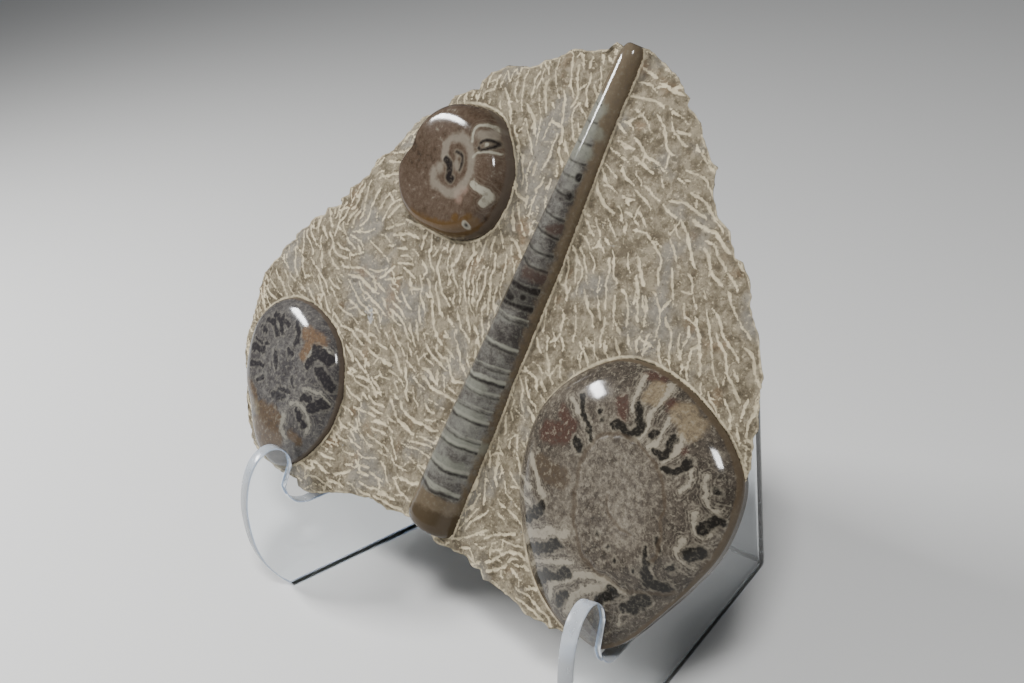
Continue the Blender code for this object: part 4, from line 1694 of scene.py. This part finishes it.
STROKE_DIRECTIONS: tuple[tuple[float, float, float], ...] = (
    (-138, 88, 135), (-130, 95, 135), (-115, 95, 120), (-100, 115, 97), (-85, 120, 75),
    (-75, 135, 22), (-80, 105, 8), (-60, 100, 7), (-100, 85, 140), (-90, 80, 140),
    (-60, 85, 155), (-40, 90, 125), (-25, 95, 122), (-30, 112, 80), (-10, 110, 90),
    (-60, 60, 165), (-35, 60, 145), (-40, 45, 135), (-50, 30, 172), (-60, 12, 5),
    (-85, 8, 170), (-20, 45, 0), (-130, 80, 150), (-110, 78, 155), (-75, 70, 160),
    (-10, 175, 105), (-20, 180, 100), (5, 170, 97), (10, 185, 110), (-5, 140, 85),
    (5, 120, 150), (0, 180, 115), (15, 170, 110), (45, 185, 165), (50, 170, 155),
    (60, 150, 147), (45, 140, 140), (75, 150, 150), (50, 120, 120), (35, 110, 115),
    (30, 100, 110), (70, 125, 130), (85, 130, 140), (60, 105, 110), (85, 110, 105),
    (95, 115, 120), (110, 110, 130), (40, 95, 110), (70, 98, 97), (90, 98, 103),
    (105, 95, 120), (115, 85, 120), (118, 75, 100), (20, 60, 122), (15, 40, 120),
    (20, 25, 135), (25, 10, 25), (45, 2, 160), (30, 45, 120), (12, 20, 50))

LARGE_MARKS: Marks = {
    Tint.DARK: [
        band(1.7, (80.9, 79.6), (83.7, 74.6), (82.3, 70.3), (78, 71.4), (73.7, 71.4)),
        band(2.2, (90.1, 72.4)), band(1.6, (93.4, 67.4), (96.6, 68.5), (97, 72.4)),
        band(1.3, (97, 63), (101.6, 62.8), (104, 65.3), (104.4, 67.8)),
        band(1.2, (67, 74.2)), band(1.2, (68.7, 71)), band(1.5, (116.6, 61.7)),
        band(2.2, (118, 52.4), (114.8, 48.1)), band(2.2, (115.9, 40.6), (112.6, 38.9)),
        band(1.4, (108, 32.4)), band(1.6, (99.8, 31), (99.4, 25.3), (102.3, 24.6), (106.6, 25.3)),
        band(0.7, (97.3, 36.7), (98.4, 32.4)), band(0.9, (101.2, 40.3), (102.3, 37.4)),
        band(2.3, (51.6, 18.9), (62.3, 24.6)), band(2.0, (56.6, 10.3), (68, 16.7)),
        band(2.2, (44.4, 27.4), (51.6, 34.6)), band(1.6, (41, 15.3), (51.6, 18.9)),
        band(2.3, (50.9, 6.7), (58, 11.7)), band(1.8, (63, 3.1), (68, 8.1)),
        band(2.2, (83, 12), (88, 16.7)), band(2.2, (92.7, 13.1), (99, 18)),
        band(0.9, (78, 34)), band(0.9, (83, 31)), band(0.8, (87, 28)), band(0.9, (95, 27)),
        band(0.8, (99, 29)), band(1.4, (59.4, 61.7), (62.3, 58.9)),
        band(1.3, (56, 76), (61, 69), (66, 64))],
    Tint.RUST: [
        band(2.5, (49.4, 68.9), (56.6, 65.3)), band(4.0, (45, 60), (53.7, 61.7)),
        band(2.5, (73.7, 78.9), (75.9, 74.6)), band(1.6, (78, 89.6), (83.7, 90.3)),
        band(2.0, (91.6, 83.1)), band(1.6, (101.6, 71))],
    Tint.CREAM: [band(4.5, (84.4, 85.3)), band(4.0, (96.6, 81.7), (101.6, 78))],
    Tint.BROWN: [band(4.0, (46, 48), (57, 47)), band(1.5, (104, 12), (114, 28), (120, 42))],
    Tint.PALE: [
        band(1.6, (38.7, 18.1), (51.6, 25.3), (60, 28.1), (65, 29.6)),
        band(0.9, (44.4, 11), (58, 16.7), (70, 21)),
        band(1.3, (58, 3.9), (62.3, 10.3), (70.9, 16), (79.4, 19.2), (89.4, 18.9)),
        band(1.4, (67.3, 1), (70, 6), (76.6, 13.1), (83.7, 16.7), (92.3, 18.9)),
        band(0.7, (90, 5.3), (90.9, 9.6), (94.4, 14.6), (99.4, 18.1)),
        band(0.7, (105.9, 65.3), (107.3, 61.7), (105, 57.4)),
        band(0.8, (112.3, 65.3), (113, 60.3), (115.9, 56), (118.7, 56)),
        band(0.7, (111.6, 53.1), (113, 46), (118, 46.7)),
        band(0.7, (110, 43.1), (108.7, 36.7), (113.7, 34.6)),
        band(0.8, (87.3, 89.6), (88.7, 85.3), (86.6, 79.6), (85.9, 72.4), (84.4, 68.9)),
        band(0.9, (93.7, 78.9), (92.3, 74.6), (92.3, 70.3), (90, 68.5)),
        band(0.9, (99.4, 74.6), (99.4, 68.9), (96.6, 66)),
        band(0.7, (77.3, 88.9), (78, 81.7), (79.4, 77.4)),
        band(0.8, (51.6, 74.6), (58, 70.3), (63.7, 66), (66.6, 61.7)),
        band(1.2, (39.8, 50.3), (44.4, 46), (48.7, 40.3), (51.6, 38.1)),
        band(1.0, (35, 36), (45, 34)), band(0.8, (34, 42), (44, 39))],
    Tint.SEAM: [
        band(0.7, (108, 24), (100, 20.5), (92, 19.5), (84, 20.5), (77, 23), (72, 27), (68, 33),
             (65.5, 40), (64.3, 47), (64.3, 54), (65.5, 60), (69.5, 66), (76, 69), (84, 68.5),
             (91, 65), (97, 60), (100.5, 53), (101.3, 46), (102, 40), (101, 33)),
        band(0.5, (78, 48), (80, 42), (86, 39), (92, 38))]}

SMALL_MARKS: Marks = {
    Tint.DARK: [
        band(1.3, (-125, 60), (-120, 60.5), (-114, 56)),
        band(1.2, (-121, 63.6), (-116, 62.4), (-111, 57.4)),
        band(1.2, (-115, 64), (-109.5, 61.8)),
        band(1.2, (-105, 63.6), (-101.4, 59.3), (-100.8, 54.3)),
        band(0.9, (-127.6, 56.8), (-122.6, 54.9)), band(0.7, (-130, 50.5), (-118.3, 50.5)),
        band(1.8, (-130, 46.8), (-120.8, 47.4)), band(1.3, (-128.9, 39.6), (-118.9, 41.1)),
        band(1.3, (-121.4, 34.3), (-117, 36.1)), band(1.5, (-112.6, 48), (-110.1, 43)),
        band(1.2, (-104.5, 51.1), (-101.4, 49.9)), band(1.0, (-105.1, 34.3), (-98.3, 35.2)),
        band(1.5, (-107.6, 31.1), (-100.8, 32.4)), band(1.0, (-98.3, 41.1), (-95.8, 38)),
        band(2.5, (-88.3, 55.5), (-80.8, 53)), band(2.0, (-90.8, 49.3), (-88.9, 51.8)),
        band(2.5, (-83.9, 48), (-77.6, 43)), band(1.8, (-88.9, 34.9), (-85.1, 35.5)),
        band(2.2, (-83.9, 31.8), (-78.9, 34.3)), band(1.6, (-90.8, 28.6), (-85.8, 23))],
    Tint.BROWN: [
        band(2.8, (-92, 17.4), (-89.5, 16.1)), band(4.5, (-114, 22), (-104, 22)),
        band(5.0, (-116, 14), (-103, 14)), band(3.0, (-117, 8), (-110, 8)),
        band(1.8, (-135.8, 34.9), (-121.4, 28), (-118.9, 24.9))],
    Tint.RUST: [
        band(3.2, (-97, 61.1), (-88.3, 59.3)), band(3.0, (-93.9, 56.1), (-93.9, 52.4))],
    Tint.CREAM: [
        band(2.5, (-126, 24), (-117.5, 22.5)), band(3.0, (-124, 17), (-120, 14))],
    Tint.PALE: [
        band(0.5, (-92, 48.6), (-90.1, 54.9), (-85.8, 57.4), (-80.8, 55.5)),
        band(0.6, (-90.1, 38), (-85.8, 39.3), (-79.5, 38), (-77, 35.5)),
        band(0.8, (-95.8, 29.9), (-92, 31.8), (-87.6, 30.5), (-83.9, 24.9), (-85.1, 20.5)),
        band(1.1, (-98.3, 24.3), (-98.9, 18.6), (-95.8, 15.5))]}

GONIATITE_MARKS: Marks = {
    Tint.DARK: [
        band(0.5, (-30, 148.7), (-26.1, 147.6), (-25.6, 144.2), (-26.1, 142)),
        band(1.6, (-34.4, 144.8), (-31.7, 143.1), (-31.1, 139.2), (-29.4, 138.1)),
        band(0.6, (-18.9, 153.7), (-17.2, 155.1), (-13.9, 155.3), (-13.3, 153.7),
             (-17.2, 151.4), (-18.9, 152)),
        band(0.7, (-18.3, 122.6))],
    Tint.RUST: [band(1.6, (-24.4, 133.1), (-21.1, 135.3)), band(1.6, (-22.8, 131.4))],
    Tint.BROWN: [band(3.2, (-48, 120), (-36, 118.6), (-24, 119.5), (-16, 123.5)),
                 band(2.0, (-22.8, 124.2))],
    Tint.CREAM: [
        band(1.9, (-35.6, 145.9), (-36.1, 149.2), (-34.4, 152.6), (-30, 154.2),
             (-25.6, 153.1), (-22.2, 149.8), (-20.6, 145.3), (-20.6, 140.9), (-22.2, 137),
             (-25.6, 133.7), (-29.4, 133.1), (-35, 134.2), (-38.9, 135.9), (-39.4, 139.8)),
        band(1.1, (-29, 147), (-27.6, 142.5)), band(2.2, (-37.2, 141.5)),
        band(2.0, (-20, 157), (-16, 157.5))],
    Tint.PALE: [
        band(0.6, (-22.8, 153.7), (-23.3, 157.6), (-21.7, 160.3), (-17.8, 160.9),
             (-14.4, 159.2)),
        band(0.8, (-16.1, 153.7)),
        band(0.5, (-20.6, 148.1), (-18.3, 150.3), (-14.4, 151.4), (-11.1, 151.4)),
        band(1.4, (-17.8, 138.1), (-14.4, 137), (-10.6, 135.9), (-12.2, 132)),
        band(1.5, (-18.3, 122.6))]}

SEPTA: list[Septum] = [
    Septum(24.5, 22.6, 21.6, 0.35), Septum(33.2, 31.8, 30.9, 0.45),
    Septum(42.4, 41.8, 40.8, 0.45), Septum(46.5, 45.8, 44.5, 0.22),
    Septum(53.4, 53.2, 51.5, 0.38), Septum(57.5, 57.3, 56.5, 0.15),
    Septum(64.2, 63.6, 63.0, 0.20), Septum(69.2, 68.9, 68.0, 0.60),
    Septum(74.0, 73.6, 73.2, 0.20), Septum(83.0, 82.6, 80.8, 0.35),
    Septum(94.5, 93.6, 92.6, 0.20), Septum(99.5, 99.0, 98.5, 0.90),
    Septum(106.4, 106.2, 105.2, 1.10), Septum(116.6, 114.6, 112.3, 0.40),
    Septum(121.5, 120.2, 119.0, 0.40), Septum(128.5, 127.3, 125.4, 0.45),
    Septum(134.6, 134.0, 132.4, 0.40), Septum(143.3, 142.3, 141.6, 0.45),
    Septum(149.5, 149.0, 148.5, 0.35), Septum(154.8, 154.4, 153.3, 0.35),
    Septum(161.5, 161.2, 160.6, 0.30), Septum(169.4, 169.0, 168.8, 0.30),
    Septum(176.0, 175.8, 175.5, 0.25)]

CONE_MARKS: Marks = {
    Tint.DARK: [band(1.5, (25.7, 142)), band(1.6, (28, 149)), band(1.2, (18, 106)),
                band(1.4, (7, 103), (12, 101.5)), band(1.1, (17, 102.5)),
                band(1.5, (32, 140), (30, 134)), band(1.2, (33, 152), (34, 158))],
    Tint.RUST: [band(2.5, (16, 112), (24, 111)), band(2.0, (22, 128), (27, 131))],
    Tint.CREAM: [band(2.2, (-3, 44), (12, 43.2)), band(2.0, (-8, 35.5), (6, 34)),
                 band(1.8, (-2, 55.8), (10, 55)), band(2.6, (2, 66.5), (8, 66)),
                 band(2.2, (24, 158.4), (29, 158)), band(2.4, (27, 165.5), (31, 165.5)),
                 band(2.0, (29, 172), (31, 174))],
    Tint.PALE: [band(0.7, (-8, 25.8), (0, 24.2), (6, 22.8))]}


def main() -> None:
    """Build the plaque piece by piece, then the studio."""
    large = CoiledShell(
        "ammonite_large", "large_shell_calcite", LARGE_OUTLINE, 12.0, LARGE_MARKS,
        ShellFinish("calcite_large", light=(0.130, 0.112, 0.088), shade=(0.058, 0.048, 0.038),
                    dark=(0.009, 0.008, 0.007), pale=(0.23, 0.205, 0.158),
                    rust=(0.050, 0.026, 0.020), cream=(0.20, 0.155, 0.095),
                    brown=(0.058, 0.043, 0.029), flank=(0.075, 0.056, 0.036)),
        hollow=1.4, gentle_foot=True, fine_steps=23, rings=130, coil_centre=(84, 50),
        crest=3.2, evenness=-0.46, centre_tone=0.58)
    small = CoiledShell(
        "ammonite_small", "small_shell_calcite", SMALL_OUTLINE, 8.0, SMALL_MARKS,
        ShellFinish("calcite_small", light=(0.092, 0.086, 0.080), shade=(0.045, 0.041, 0.041),
                    dark=(0.020, 0.018, 0.020), pale=(0.20, 0.188, 0.155),
                    rust=(0.125, 0.078, 0.045), cream=(0.15, 0.125, 0.085),
                    brown=(0.080, 0.055, 0.034), flank=(0.075, 0.058, 0.044), speckle=0.35,
                    ragged=1.1, halo=0.30, grit=0.48),
        fine_steps=20, rings=100, coil_centre=(-110, 46), coil_turn=0.025, grown=0.8,
        crest=3.6)
    goniatite = CoiledShell(
        "goniatite", "goniatite_calcite", GONIATITE_OUTLINE, 10.0, GONIATITE_MARKS,
        ShellFinish("calcite_goniatite", light=(0.073, 0.052, 0.038),
                    shade=(0.052, 0.035, 0.023), dark=(0.008, 0.006, 0.006),
                    pale=(0.25, 0.235, 0.185), rust=(0.16, 0.11, 0.085), cream=(0.19, 0.168, 0.135),
                    brown=(0.075, 0.043, 0.016), flank=(0.070, 0.056, 0.045), speckle=0.10,
                    banding=0.10, matte=0.12, streaking=0.3, ragged=0.22, halo=0.2, grit=0.06),
        coil_centre=(-30, 143), crest=11.0, steep=0.60,
        fine_steps=19, rings=80, grown=0.3)
    cone = Orthoceras(
        "orthoceras", "orthoceras_calcite", SEPTA, CONE_MARKS,
        ShellFinish("calcite_orthoceras", light=(0.120, 0.116, 0.102), shade=(0.058, 0.052, 0.047),
                    dark=(0.012, 0.010, 0.009), pale=(0.185, 0.183, 0.150),
                    rust=(0.045, 0.030, 0.024), cream=(0.155, 0.158, 0.128),
                    brown=(0.100, 0.076, 0.048), flank=(0.045, 0.032, 0.018), speckle=0.40,
                    banding=0.0, ragged=0.16, halo=0.15, grit=0.22))
    MatrixSlab("matrix_slab", "limestone", SLAB_RIM, ToolMarks(STROKE_DIRECTIONS),
               LimestoneFinish()).build([large.rim(), small.rim(), goniatite.rim(),
                                         cone.outline()])
    for fossil in (large, small, goniatite, cone):
        fossil.build()
    sawn = AcrylicFinish("acrylic_sawn_edge", (0.80, 0.83, 0.86), transmission=0.60,
                         polished=0.25, scratched=0.45)
    AcrylicStand("acrylic_stand", "clear_acrylic", AcrylicFinish(), sawn).build()
    Studio((SoftLight("key_left", -64.0, 33.0, (0.30, 0.10), 12.5),
            SoftLight("fill_right", 45.0, 52.0, (0.16, 0.16), 9.0))).build()


if __name__ == "__main__":
    logging.basicConfig(level=logging.INFO, format="%(message)s")
    main()
